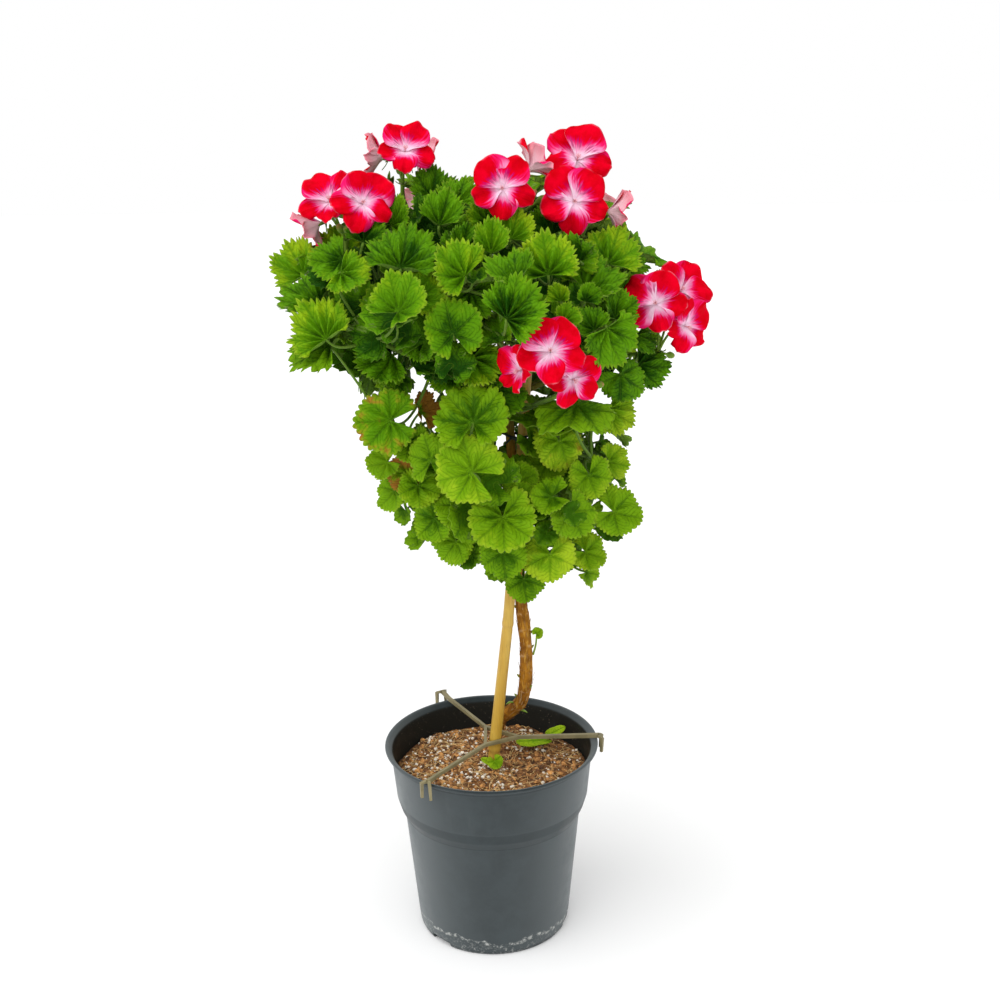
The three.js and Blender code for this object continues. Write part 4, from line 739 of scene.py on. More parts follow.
def leaf_grid(leaf, seat, coarse=False):
    """The blade over q (lobe count round the petiole) and t (0 at the petiole, 1 at the rim).

    Reach at the rim = size (middle + stretch cos theta - notch (1 - sin(pi f)^round)), with f the
    part of q within its lobe; teeth depth (tooth - 0.4) are added with t^5, tooth being
    sin(pi count)^sharp. Height = rise reach t^1.35 + waves t^2 - pleat size sin(pi t)
    (cos(2 pi (f - 1/2)) - fork cos(4 pi (f - 1/2))): veins and their forks lie in valleys, the
    blade bulges between them. A coarse blade has few rows and few steps a tooth.
    """
    form, edge = LEAF_FORMS[leaf["kind"]], LEAF_EDGES[leaf["kind"]]
    lobes, size, phase = leaf_lobes(leaf), leaf["size"], leaf["phase"]
    teeth = COARSE_TEETH if coarse else max(2, round(edge["teeth"] / lobes))
    steps, rows = (COARSE_TOOTH_STEPS, COARSE_ROWS) if coarse else (TOOTH_STEPS, LEAF_ROWS)
    q = np.linspace(0, lobes, lobes * teeth * steps + 1)[None]
    t = np.linspace(0, 1, rows + 1)[:, None] ** 0.8
    theta = radians(form["span"]) * (2 * q / lobes - 1)
    f = q - np.floor(q)
    hill = np.sin(pi * f)
    count = q * teeth
    uneven = chance(np.floor(count).astype(int) * 7 + int(phase * 1000))
    tooth = np.sin(pi * (count % 1)) ** edge["sharp"] * (0.7 + 0.6 * uneven)
    slow = 0.02 * np.sin(1.3 * q + phase) + 0.014 * np.sin(2.9 * q + 2 * phase)
    notch = form["notch"] * edge["notch"] * (1 - hill ** edge["round"])
    reach = size * (form["middle"] + form["stretch"] * np.cos(theta) - notch + slow)
    reach = reach + size * edge["depth"] * (tooth - 0.4) * t ** 5
    rise = leaf["cup"] + leaf.get("fold", 0) * np.abs(np.sin(theta))
    level = reach / np.hypot(1, rise)
    wave = 0.05 * np.sin(3 * theta + phase) + 0.02 * (2 * hill - 1)
    height = form["wide"] * size * wave * t ** 2 + level * rise * t ** 1.35
    fork = 0.55 * np.clip(2 * t - 0.7, 0, 1) * np.cos(4 * pi * (f - 0.5))
    pleat = edge["pleat"] * size * np.sin(pi * t ** 0.8) * (np.cos(tau * (f - 0.5)) - fork)
    ruffle = edge["ruffle"] * size * (t ** 4 * np.sin(3 * pi * q + 3 * phase)
                                      + 1.5 * t ** 2.5 * np.sin(0.9 * pi * q + 5 * phase))
    tips = 0.02 * size * t ** 6 * (tooth - 0.4) * np.sin(1.7 * q + phase)
    height = height - pleat + ruffle + tips - 0.03 * size * t ** 5
    bow = 1 + 0.05 * np.sin(pi * t) * np.sin(2 * theta + phase)
    local = np.stack([form["wide"] * level * t * bow * np.sin(theta),
                      level * t * bow * np.cos(theta), height], -1)
    root, (a, b, n) = seat["root"], seat["axes"]
    grid = root + local[..., :1] * a + local[..., 1:2] * b + local[..., 2:] * n
    return grid, np.stack(np.broadcast_arrays(q, t), -1)


def add_leaf(sheaf, leaf, seat, tint, coarse=False):
    """A blade whose tint is its lightness, brown share and own number, then 1 on the upper side and
    0 on the lower."""
    grid, uv = leaf_grid(leaf, seat, coarse)
    add_blade(sheaf, grid, uv, BLADE_SHELL, (*tint, 1), (*tint, 0))


def add_petiole(sheaf, seat, light, coarse=False):
    """A stalk along its curve, with radius 1.35 - 0.45 t, thicker by e^(-14 t) at the shoot and by
    e^(-16 (1 - t)) where it enters the blade."""
    steps, sides = (COARSE_PETIOLE_STEPS, COARSE_PETIOLE_SIDES) if coarse else (PETIOLE_STEPS, PETIOLE_SIDES)
    end = seat["root"] - seat["axes"][2] * 0.3
    t = np.linspace(0, 1, steps + 1)
    radii = 1.35 - 0.45 * t + 0.5 * np.exp(-t * 14) + 0.35 * np.exp(-(1 - t) * 16)
    add_tube(sheaf, curve(seat["start"], seat["behind"], end, steps), radii, sides, (light, 0, 0, 1))


# Leaves that differ in colour, by where they are seen: lightness and brown share
LEAF_TINTS = {
    (570, 442): (0.72, 0.25), (386, 412): (0.6, 0.34), (421, 409): (0.5, 0.95),
    (404, 471): (0.8, 0.6), (550, 558): (0.8, 0.05), (468, 470): (0.58, 0),
    (409, 444): (0.4, 0), (385, 463): (0.6, 0.1), (611, 462): (0.7, 0.1),
    (429, 459): (0.45, 0), (503, 522): (0.52, 0), (470, 422): (0.36, 0),
}
# Lightness that differs from leaf to leaf is partly the leaves' own tone and partly painted shade, most
# among the upper fans.
LIGHT_SPREAD = {"fan": 0.52, "round": 0.36}  # how much leaves of a kind differ in lightness
INNER_LIGHT = -0.22  # lightness of the small leaves between, which stand in the crown's shade


def leaf_tint(leaf, seed):
    """Lightness from 0, dark, to 1, yellow-green, and brown share, by place or by chance."""
    draw = chance(seed * 31 + np.arange(3))
    by_chance = 0.45 + LIGHT_SPREAD[leaf["kind"]] * (draw[0] - 0.5)
    light, brown = LEAF_TINTS.get(tuple(leaf.get("seen", ())), (by_chance, 0.0))
    return light, brown, draw[1]


# Flowers
PETAL_ROWS, PETAL_COLUMNS = 14, 21
PETAL_SHELL = 0.35
UPPER_PETALS = 2  # the first two, which are the broad ones
SEPALS, STAMENS, BRACTS = 5, 6, 7
PEDICEL_STEPS = 26
PEDICEL_RADII = [1.1, 1.0, 1.2, 2.6]
BUD_RADII = [1.1, 1.0, 2.4, 0.6]


def bloom_seat(bloom, corners):
    """The place and axes of the try at which the part holds this bloom, by its petals' corners."""
    amount, turn = bend_amounts(np.arange(TRIES))
    face = (bloom["face"][0] + 3 * amount * np.cos(turn), bloom["face"][1] + 3 * amount * np.sin(turn))
    a, b, n = axes_of(face, np.full(TRIES, float(bloom["tip"])))
    place = place_of(bloom["seen"], bloom["depth"]) + n * (1.5 * amount * np.sin(1.3 * turn))[:, None]
    rims = np.stack([petal_rim(bloom, petal, place, (a, b, n)) for petal in PETALS], 1)
    i = int(matches(rims.reshape(TRIES, -1, 3), corners).argmax())
    return {"place": place[i], "axes": (a[i], b[i], n[i])}


def petal_axes(bloom, petal, axes):
    """A petal's way outwards, its width and its upper side, for one or many tries."""
    a, b, n = axes
    turn, back = radians(petal["turn"]), radians(petal["lean"] * bloom["open"])
    out = b * cos(turn) + a * sin(turn)
    along = out * sin(back) + n * cos(back)
    flat = np.cross(n, out)
    up = np.cross(along, flat)
    roll = radians(PETAL_ROLL)
    return along, flat * cos(roll) + up * sin(roll), up, sin(back)


def petal_rim(bloom, petal, place, axes):
    """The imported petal's outline at each try: place - x width side + y length along."""
    along, side, _, narrow = petal_axes(bloom, petal, axes)
    wide, long = petal["wide"] * narrow, petal["long"]
    size = bloom["size"]
    return np.stack([place - side * (x * wide * size) + along * (y * long * size)
                     for x, y in PETAL_OUTLINE], -2)


def petal_grid(bloom, petal, seat, seed):
    """A petal over x (-1 to 1 across) and y (0 at the claw, 1 at the margin).

    Half width = 0.07 + 0.43 smooth(y / 0.75), drawn in again near the end; the margin falls back by
    0.3 |x|^2.3 of the length; height = spoon x^2 + bend y^3 + ruffles that grow with y^3.
    """
    along, side, up, narrow = petal_axes(bloom, petal, seat["axes"])
    size, draw = bloom["size"], chance(seed + np.arange(6))
    phase = tau * draw[0]
    x = np.linspace(-1, 1, PETAL_COLUMNS)[None]
    y = np.linspace(0, 1, PETAL_ROWS)[:, None]
    s = np.clip(y / 0.75, 0, 1)
    spread = 0.07 + 0.43 * s * s * (3 - 2 * s) - 0.06 * np.clip((y - 0.75) / 0.25, 0, 1) ** 2
    notch = 0.06 * draw[1] * np.exp(-(x / 0.25) ** 2)
    margin = 1 - 0.3 * np.abs(x) ** 2.3 + 0.03 * np.sin(4 * x + phase) - notch
    broad = 1.14 if petal["wide"] > 0.52 else 0.9
    wide = petal["wide"] * max(narrow, 0.72) * size * broad * (0.88 + 0.24 * draw[2])
    long = petal["long"] * size * (0.95 + 0.1 * draw[3])
    across = x * spread * wide
    onward = (0.02 + 0.98 * y * margin) * long
    ruffle = y ** 3 * size * (0.04 * np.sin(1.7 * pi * x + phase)
                              + 0.012 * np.sin(4.4 * pi * x + 2 * phase))
    bend = long * (0.16 * np.sin(pi * y) * (draw[4] - 0.3) - (0.04 + 0.28 * draw[5]) * y ** 3)
    spoon = (0.05 + 0.07 * draw[4]) * size * x ** 2 * y * (1.25 - 0.9 * y)
    height = ruffle + bend + spoon + 0.012 * size * np.abs(x) ** 0.5 * (1 - y)
    grid = seat["place"] - side * across[..., None] + along * onward[..., None] + up * height[..., None]
    grid[0] = grid[0].mean(0)
    return grid, np.stack(np.broadcast_arrays(x, y), -1)


def add_bloom(sheaf, stalks, bloom, seat, seed):
    """Five petals, the stamens in their throat, and five sepals laid against their backs.

    A sepal runs 11 out from behind the petals and bows by 0.8 sin(pi s); its half width is
    1.9 sqrt(1 - s). A stamen rises by 8 and bends outwards with s^2.
    """
    for i, petal in enumerate(PETALS):
        grid, uv = petal_grid(bloom, petal, seat, seed + 17 * i)
        upper = 1.0 if i < UPPER_PETALS else 0.0
        draw = float(chance(seed + 17 * i + 3))
        add_blade(sheaf, grid, uv, PETAL_SHELL, (upper, draw, 0, 1), (upper, draw, 0, 0))
    a, b, n = seat["axes"]
    place = seat["place"]
    lean = radians(min(100, 84 * bloom["open"] + 24))
    for i in range(SEPALS):
        turn = radians(36 + 72 * i)
        out = b * cos(turn) + a * sin(turn)
        s = np.linspace(0, 1, 7)[:, None]
        way = out * sin(lean) + n * cos(lean)
        line = place - n * 2.4 + way * (11 * s) - n * (0.8 * np.sin(pi * s))
        half = 1.9 * np.sqrt(np.clip(1 - s[:, 0], 0, 1)) + 0.15
        add_strip(stalks, line, np.cross(n, out), half, 0.35, (0.55, 0, 0, 1))
    for i in range(STAMENS):
        turn = radians(60 * i + 20)
        out = b * (cos(turn) * 0.5 - 0.3) + a * sin(turn) * 0.5
        s = np.linspace(0, 1, 6)[:, None]
        line = place + n * (8 * s) + out * (3.0 * s ** 2)
        add_tube(sheaf, line, [0.3, 0.28, 0.26, 0.24, 0.28, 0.5], 5, (0, 0.5, 1, 1))


def add_strip(sheaf, line, wide, halves, thick, tint):
    """A narrow blade of lens section along a line: half width and thickness fall to its tip."""
    line = np.asarray(line, float)
    along = unit(np.gradient(line, axis=0))
    wide = unit(wide - along * (along * wide).sum(-1, keepdims=True))
    up = np.cross(wide, along)
    rows = len(line)
    halves = np.broadcast_to(halves, (rows,))[:, None]
    ring = np.stack([line - wide * halves, line + up * thick, line + wide * halves, line - up * thick], 1)
    points = np.vstack([ring.reshape(-1, 3), line[:1] - along[:1] * 0.1, line[-1:] + along[-1:] * 0.3])
    quads, tris = ring_faces(rows, 4)
    uv = np.stack([np.tile([0, 0.5, 1, 0.5], rows), np.repeat(np.linspace(0, 1, rows), 4)], -1)
    uv = np.vstack([uv, [[0.5, 0]], [[0.5, 1]]])
    sheaf.add(points, quads[:, [0, 3, 2, 1]], tris[:, [0, 2, 1]], uv, tint)


def pedicel_try(umbel, end, n, corners):
    """The pedicel's line at the try that the part holds, found by its second ring."""
    long = np.linalg.norm(umbel - end)
    for k in range(TRIES):
        amount, turn = sqrt(k), k * BEND_TURN
        sway = np.array([2.2 * amount * cos(turn), 2.2 * amount * sin(turn),
                         amount * sin(1.7 * turn)])
        line = curve(umbel, end - n * 0.45 * long + sway, end, 3)
        near = np.linalg.norm(corners - line[1], axis=1)
        if (np.abs(near - 1) < 0.06).sum() >= 3:
            return np.vstack([line[:2], [end - n * 7], [end]])
    return None


def add_pedicel(stalks, points, radii):
    """A bloom's stalk along a spline, or a bud's: that swells by 1.9 sin^0.8 over its outer part,
    where it flushes red."""
    line, radius = smooth_line(points, radii, PEDICEL_STEPS)
    tint = np.tile([0.5, 0, 0, 1.0], (PEDICEL_STEPS + 1, 1))
    if radii is BUD_RADII:
        t = np.linspace(0, 3, PEDICEL_STEPS + 1)
        bulge = np.sin(np.clip((t - 1.7) / 1.3, 0, 1) * pi) ** 0.8
        radius = np.where(t < 1.7, 1.0, 1.0 + 1.9 * bulge)
        radius[-1] = 0.3
        tint[:, 1] = np.clip((t - 2.5) * 1.6, 0, 1)
    add_tube(stalks, line, radius, 9, tint)


def add_bracts(stalks, umbel, seed):
    """Small pointed bracts round the place where a head's stalks part."""
    draw = chance(seed + np.arange(BRACTS))
    for i in range(BRACTS):
        turn = tau * (i + 0.4 * draw[i]) / BRACTS
        out = unit(np.array([cos(turn), sin(turn), 0.15]))
        s = np.linspace(0, 1, 5)[:, None]
        strip = umbel + out * (1.2 + 5.5 * s) + np.array([0, 0, 1]) * (1.5 * s ** 2 - 0.5)
        half = 1.5 * np.sqrt(1 - s[:, 0]) + 0.1
        add_strip(stalks, strip, np.cross(out, [0, 0, 1.0]), half, 0.3, (0.45, 0.1, 0, 1))


def make_head(name, head):
    """One flower head: its blooms as one piece, its stalks, sepals and buds as another."""
    petals, stalks = Sheaf(), Sheaf()
    node = f"flower_head_{name}_stalks"
    bloom_nodes = [f"flower_head_{name}_bloom_{i + 1}" for i in range(len(head["blooms"]))]
    corners = node_points(node)
    umbel = place_of(*head["umbel"])
    ends = []
    for i, (bloom, bloom_node) in enumerate(zip(head["blooms"], bloom_nodes)):
        seat = bloom_seat(bloom, node_points(bloom_node))
        add_bloom(petals, stalks, bloom, seat, ord(name) * 400 + i * 100)
        end = seat["place"] - seat["axes"][2] * (PETAL_THICKNESS + CLEARANCE + 0.05)
        ends.append((end, seat["axes"][2], PEDICEL_RADII))
    for bud in head["buds"]:
        end = place_of(*bud)
        ends.append((end, unit(end - umbel), BUD_RADII))
    shoot = shoot_line(SHOOTS[head["shoot"]], 3)
    outward = unit(shoot[3] - shoot[2])
    start = shoot[3] - outward * 1.5
    line = curve(start, start + outward * 0.5 * np.linalg.norm(start - umbel), umbel, 20)
    radii = np.linspace(1.9, 1.6, 21) + 0.9 * np.exp(-np.linspace(0, 1, 21)[::-1] * 14)
    add_tube(stalks, line, radii, 10, PLAIN)
    for end, n, radii in ends:
        points = pedicel_try(umbel, end, n, corners)
        if points is not None:
            add_pedicel(stalks, points, radii)
    add_bracts(stalks, umbel, ord(name) * 7)
    shown(petals, f"petals_{name}", petal_material, "petal", *bloom_nodes)
    shown(stalks, f"flower_stalks_{name}", stalk_material, "flower_stalk", node)


# Materials
def graph(name):
    """A material, its node tree and its shader, which is linked to the output."""
    material = bpy.data.materials.new(name)
    material.use_nodes = True
    tree = material.node_tree
    tree.nodes.clear()
    shader = tree.nodes.new("ShaderNodeBsdfPrincipled")
    out = tree.nodes.new("ShaderNodeOutputMaterial")
    tree.links.new(shader.outputs["BSDF"], out.inputs["Surface"])
    return material, tree, shader


def put(socket, value):
    """Links a socket, or sets its value."""
    if isinstance(value, bpy.types.NodeSocket):
        socket.id_data.links.new(value, socket)
    else:
        socket.default_value = value


def new_node(kind, *values):
    """A node in the tree that the first socket among the values belongs to."""
    tree = next(value.id_data for value in values if isinstance(value, bpy.types.NodeSocket))
    return tree.nodes.new(kind)


def math_node(operation, *values):
    """One sum, product or other operation on numbers and sockets."""
    node = new_node("ShaderNodeMath", *values)
    node.operation = operation
    for socket, value in zip(node.inputs, values):
        put(socket, value)
    return node.outputs[0]


def plus(first, second):
    """first + second"""
    return math_node("ADD", first, second)


def minus(first, second):
    """first - second"""
    return math_node("SUBTRACT", first, second)


def times(first, second):
    """first times second"""
    return math_node("MULTIPLY", first, second)


def larger(first, second):
    """The larger of two values."""
    return math_node("MAXIMUM", first, second)


def away_from(value, middle):
    """How far a value lies from the middle, either way."""
    return math_node("ABSOLUTE", minus(value, middle))


def length(across, up):
    """The root of across times itself + up times itself."""
    return math_node("SQRT", plus(times(across, across), times(up, up)))


def swing(share, amount):
    """A share from 0 to 1 as a number from -amount / 2 to amount / 2."""
    return times(minus(share, 0.5), amount)


def blend(share, low, high):
    """A colour between low and high by a share."""
    node = new_node("ShaderNodeMix", share, low, high)
    node.data_type = "RGBA"
    node.clamp_factor = True
    put(node.inputs["Factor"], share)
    for socket, value in ((node.inputs[6], low), (node.inputs[7], high)):
        put(socket, (*value, 1) if isinstance(value, tuple) else value)
    return node.outputs[2]


def step(value, low, high, out_low=0.0, out_high=1.0):
    """A smooth step: out_low below low, out_high above high."""
    node = new_node("ShaderNodeMapRange", value)
    node.interpolation_type = "SMOOTHSTEP"
    for socket, item in zip(node.inputs, (value, low, high, out_low, out_high)):
        put(socket, item)
    return node.outputs[0]


# Effects that several materials use: a node group each, built once
NUMBER, VECTOR, COLOUR = "NodeSocketFloat", "NodeSocketVector", "NodeSocketColor"


def node_group(name, inputs, outputs):
    """A shader node group with named inputs and outputs: the group, what comes in, what goes out."""
    group = bpy.data.node_groups.new(name, "ShaderNodeTree")
    for label, (kind, start) in inputs.items():
        socket = group.interface.new_socket(name=label, in_out="INPUT", socket_type=kind)
        socket.default_value = start
    for label, kind in outputs.items():
        group.interface.new_socket(name=label, in_out="OUTPUT", socket_type=kind)
    return group, group.nodes.new("NodeGroupInput").outputs, group.nodes.new("NodeGroupOutput").inputs


def use_group(tree, group, **values):
    """Places a group in a material with its own values; returns its outputs."""
    node = tree.nodes.new("ShaderNodeGroup")
    node.node_tree = group
    for label, value in values.items():
        put(node.inputs[label], value)
    return node.outputs


def make_grain_group():
    """Noise on Object coordinates, which may be stretched along each axis."""
    group, come, go = node_group("grain", {
        "Scale": (NUMBER, 100.0), "Detail": (NUMBER, 3.0), "Roughness": (NUMBER, 0.5),
        "Stretch": (VECTOR, (1.0, 1.0, 1.0))}, {"Share": NUMBER})
    spread = group.nodes.new("ShaderNodeVectorMath")
    spread.operation = "MULTIPLY"
    group.links.new(group.nodes.new("ShaderNodeTexCoord").outputs["Object"], spread.inputs[0])
    group.links.new(come["Stretch"], spread.inputs[1])
    texture = group.nodes.new("ShaderNodeTexNoise")
    group.links.new(spread.outputs["Vector"], texture.inputs["Vector"])
    for label in ("Scale", "Detail", "Roughness"):
        group.links.new(come[label], texture.inputs[label])
    group.links.new(texture.outputs["Fac"], go["Share"])
    return group


def make_two_tone_group():
    """Two colours mixed where the grain passes between From and To, with the grain's share."""
    group, come, go = node_group("two_tone", {
        "Dark": (COLOUR, (0, 0, 0, 1)), "Bright": (COLOUR, (1, 1, 1, 1)), "Scale": (NUMBER, 100.0),
        "Detail": (NUMBER, 5.0), "Roughness": (NUMBER, 0.6), "Stretch": (VECTOR, (1.0, 1.0, 1.0)),
        "From": (NUMBER, 0.3), "To": (NUMBER, 0.7)}, {"Colour": COLOUR, "Share": NUMBER})
    grain = {label: come[label] for label in ("Scale", "Detail", "Roughness", "Stretch")}
    share = use_group(group, grain_group, **grain)[0]
    mixed = blend(step(share, come["From"], come["To"]), come["Dark"], come["Bright"])
    group.links.new(mixed, go["Colour"])
    group.links.new(share, go["Share"])
    return group


def make_tint_group():
    """The four values that each corner of a piece carries."""
    labels = ("First", "Second", "Third", "Fourth")
    group, _, go = node_group("corner_values", {}, {label: NUMBER for label in labels})
    values = group.nodes.new("ShaderNodeVertexColor")
    values.layer_name = "tint"
    split = group.nodes.new("ShaderNodeSeparateColor")
    group.links.new(values.outputs["Color"], split.inputs["Color"])
    for label, socket in zip(labels, (*split.outputs[:3], values.outputs["Alpha"])):
        group.links.new(socket, go[label])
    return group


def make_relief_group():
    """A height turned into a normal."""
    group, come, go = node_group("relief", {
        "Height": (NUMBER, 0.0), "Distance": (NUMBER, 0.001),
        "Strength": (NUMBER, 1.0)}, {"Normal": VECTOR})
    lift = group.nodes.new("ShaderNodeBump")
    for label in ("Height", "Distance", "Strength"):
        group.links.new(come[label], lift.inputs[label])
    group.links.new(lift.outputs["Normal"], go["Normal"])
    return group


grain_group = make_grain_group()
two_tone_group = make_two_tone_group()
tint_group = make_tint_group()
relief_group = make_relief_group()


def noise(tree, scale, detail=3.0, rough_share=0.5, stretch=(1.0, 1.0, 1.0)):
    """The grain group's share."""
    return use_group(tree, grain_group, Scale=scale, Detail=detail, Roughness=rough_share,
                     Stretch=stretch)[0]


def two_tone(tree, dark, bright, scale, detail=5.0, rough_share=0.6, stretch=(1.0, 1.0, 1.0),
             between=(0.3, 0.7)):
    """The two-tone group's colour and share."""
    return use_group(tree, two_tone_group, Dark=(*dark, 1), Bright=(*bright, 1), Scale=scale,
                     Detail=detail, Roughness=rough_share, Stretch=stretch,
                     From=between[0], To=between[1])[:2]


def tint_parts(tree):
    """The four values of the piece's tint."""
    return use_group(tree, tint_group)[:4]


def uv_parts(tree):
    """The piece's own place on the material: across and onwards."""
    node = tree.nodes.new("ShaderNodeUVMap")
    node.uv_map = "blade"
    split = tree.nodes.new("ShaderNodeSeparateXYZ")
    tree.links.new(node.outputs["UV"], split.inputs["Vector"])
    return split.outputs[:2]


def bump(tree, shader, height, distance, strength=1.0):
    """Relief from a height, as the relief group's normal."""
    normal = use_group(tree, relief_group, Height=height, Distance=distance, Strength=strength)[0]
    tree.links.new(normal, shader.inputs["Normal"])


def leaf_surface_material(name, deep, middle, bright):
    """A leaf's blade: palmate veins in valleys darkened by painted shade, a middle darkened by painted
    shade and lighter towards the rim, a pale margin, brown spots and a paler underside.

    With f the way across a lobe from its vein and t the way out, a main vein lies where |f| t is
    small, and side veins where 6 t - 5 |f| passes a whole number.
    """
    material, tree, shader = graph(name)
    light, brown, own, upper = tint_parts(tree)
    q, t = uv_parts(tree)
    f = away_from(math_node("FRACT", q), 0.5)
    off = times(f, t)
    vein = step(off, 0.006, 0.02, 1.0, 0.0)
    valley = step(off, 0.01, 0.085, 1.0, 0.0)
    branch = plus(minus(times(t, 6.0), times(f, 5.0)), times(noise(tree, 180.0, 1.0), 0.7))
    branch = math_node("FRACT", branch)
    gap = away_from(branch, 0.5)
    branch_line = times(step(gap, 0.0, 0.15, 1.0, 0.0), step(t, 0.1, 0.3))
    veins = larger(vein, times(branch_line, 0.5))
    mottle = noise(tree, 70.0, 4.0, 0.6)
    fine = noise(tree, 600.0, 3.0, 0.6)
    # painted shade of the cup: the blade is darker towards the petiole; the lighter rim is the leaf's own
    # tone
    outwards = step(plus(t, times(mottle, 0.5)), 0.5, 1.25, -0.4, 0.4)
    outwards = times(outwards, step(own, 0.0, 1.0, 0.15, 0.5))
    # painted shade: the valleys along the main and side veins are darkened, as the pleats would shade them
    shade = times(larger(valley, times(branch_line, 0.6)), 0.17)
    amount = plus(plus(light, swing(mottle, 1.0)), swing(fine, 0.35))
    amount = minus(plus(amount, outwards), shade)
    colour = blend(step(amount, 0.0, 0.5), deep, middle)
    colour = blend(step(amount, 0.5, 1.05), colour, bright)
    colour = blend(times(vein, 0.16), colour, (0.2, 0.36, 0.02))
    edge = times(step(t, 0.9, 1.0, 0.0, 0.4), step(light, 0.1, 0.7))
    colour = blend(edge, colour, (0.36, 0.48, 0.03))
    outer = times(brown, step(t, 0.0, 1.0, 0.25, 0.7))
    spots = step(plus(mottle, outer), 0.74, 0.92)
    spots = times(spots, step(brown, 0.0, 0.05))
    colour = blend(spots, colour, (0.34, 0.15, 0.02))
    under = blend(0.55, colour, (0.2, 0.32, 0.06))
    colour = blend(upper, under, colour)
    put(shader.inputs["Base Color"], colour)
    put(shader.inputs["Roughness"], step(fine, 0.2, 0.9, 0.5, 0.7))
    shader.inputs["Specular IOR Level"].default_value = 0.06
    cells = tree.nodes.new("ShaderNodeTexVoronoi")
    cells.feature = "SMOOTH_F1"
    cells.inputs["Scale"].default_value = 420.0
    tree.links.new(tree.nodes.new("ShaderNodeTexCoord").outputs["Object"], cells.inputs["Vector"])
    bump(tree, shader, minus(times(cells.outputs["Distance"], -0.5), veins), 0.0008, 0.9)
    return material


def petal_surface_material():
    """A petal: white-pink throat with radiating magenta streaks, red blade, pale margin and back.

    With x the way across and y the way out, the throat's colours follow the distance from the place
    (0, 0.82), which the petal's own number shifts sideways and the streaks along y break up.
    """
    material, tree, shader = graph("petal")
    upper_petal, draw, stamen, upper = tint_parts(tree)
    x, y = uv_parts(tree)
    stretch = tree.nodes.new("ShaderNodeCombineXYZ")
    for socket, (value, many) in zip(stretch.inputs, ((x, 9.0), (y, 1.6), (draw, 30.0))):
        put(socket, times(value, many))
    fan = tree.nodes.new("ShaderNodeTexNoise")
    tree.links.new(stretch.outputs[0], fan.inputs["Vector"])
    for label, value in (("Scale", 1.0), ("Detail", 3.0), ("Roughness", 0.6)):
        fan.inputs[label].default_value = value
    streak = fan.outputs["Fac"]
    cloud = noise(tree, 120.0, 3.0)
    side = plus(times(x, 0.8), step(draw, 0.0, 1.0, -0.3, 0.3))
    outer = math_node("DIVIDE", minus(y, 0.82), 0.5)
    far = length(side, outer)
    reach = plus(far, swing(streak, 1.05))
    red = blend(step(cloud, 0.3, 0.7), (0.54, 0.0, 0.005), (0.72, 0.0, 0.015))
    colour = blend(step(reach, 0.6, 0.88), red, (0.74, 0.01, 0.13))
    pink = times(step(reach, 0.8, 1.05), step(y, 0.52, 0.88, 1.0, 0.0))
    colour = blend(pink, colour, (0.84, 0.26, 0.48))
    pale = times(step(reach, 1.04, 1.36), step(y, 0.4, 0.7, 1.0, 0.0))
    colour = blend(pale, colour, (0.88, 0.62, 0.76))
    dark = step(away_from(y, 0.4), 0.05, 0.24, 1.0, 0.0)
    dark = times(times(dark, step(streak, 0.5, 0.57)), step(upper_petal, 0.0, 1.0, 0.45, 1.0))
    colour = blend(times(dark, 0.8), colour, (0.4, 0.0, 0.1))
    edge = times(step(y, 0.95, 1.0), step(cloud, 0.4, 0.7))
    colour = blend(times(edge, 0.45), colour, (0.85, 0.3, 0.42))
    outwards = step(plus(y, times(streak, 0.4)), 0.6, 1.25)
    back = blend(outwards, (0.92, 0.6, 0.67), (0.84, 0.28, 0.35))
    colour = blend(upper, back, colour)
    colour = blend(stamen, colour, (0.9, 0.45, 0.5))
    put(shader.inputs["Base Color"], colour)
    put(shader.inputs["Roughness"], step(cloud, 0.2, 0.8, 0.5, 0.65))
    shader.inputs["Specular IOR Level"].default_value = 0.01
    bump(tree, shader, streak, 0.0008, 0.6)
    return material


def stalk_surface_material(name, green, other):
    """Hairy green skin with lengthwise lines, flushed with another colour by the tint's second value."""
    material, tree, shader = graph(name)
    light, flush, _, _ = tint_parts(tree)
    mottle = noise(tree, 90.0, 3.0)
    lines = noise(tree, 900.0, 2.0, stretch=(1, 1, 0.12))
    deep = tuple(c * 0.45 for c in green)
    colour = blend(plus(mottle, minus(light, 0.5)), deep, green)
    colour = blend(times(flush, step(mottle, 0.25, 0.6)), colour, other)
    colour = blend(step(lines, 0.55, 0.75, 0.0, 0.25), colour, (0.36, 0.45, 0.12))
    put(shader.inputs["Base Color"], colour)
    put(shader.inputs["Roughness"], step(lines, 0.3, 0.8, 0.5, 0.75))
    shader.inputs["Sheen Weight"].default_value = 0.06
    shader.inputs["Specular IOR Level"].default_value = 0.15
    bump(tree, shader, lines, 0.0004, 0.6)
    return material


def mottled_material(name, dark, bright, scale, roughness, relief, vary=0.0):
    """Two colours mixed by noise, which also gives the relief. Grains are darker by up to vary."""
    material, tree, shader = graph(name)
    colour, spread = two_tone(tree, dark, bright, scale)
    if vary:
        darker = step(tint_parts(tree)[0], 0.0, 0.5, vary, 0.0)
        colour = blend(darker, colour, tuple(c * 0.4 for c in dark))
    put(shader.inputs["Base Color"], colour)
    put(shader.inputs["Roughness"], step(spread, 0.2, 0.8, roughness[0], roughness[1]))
    bump(tree, shader, spread, relief, 0.8)
    return material


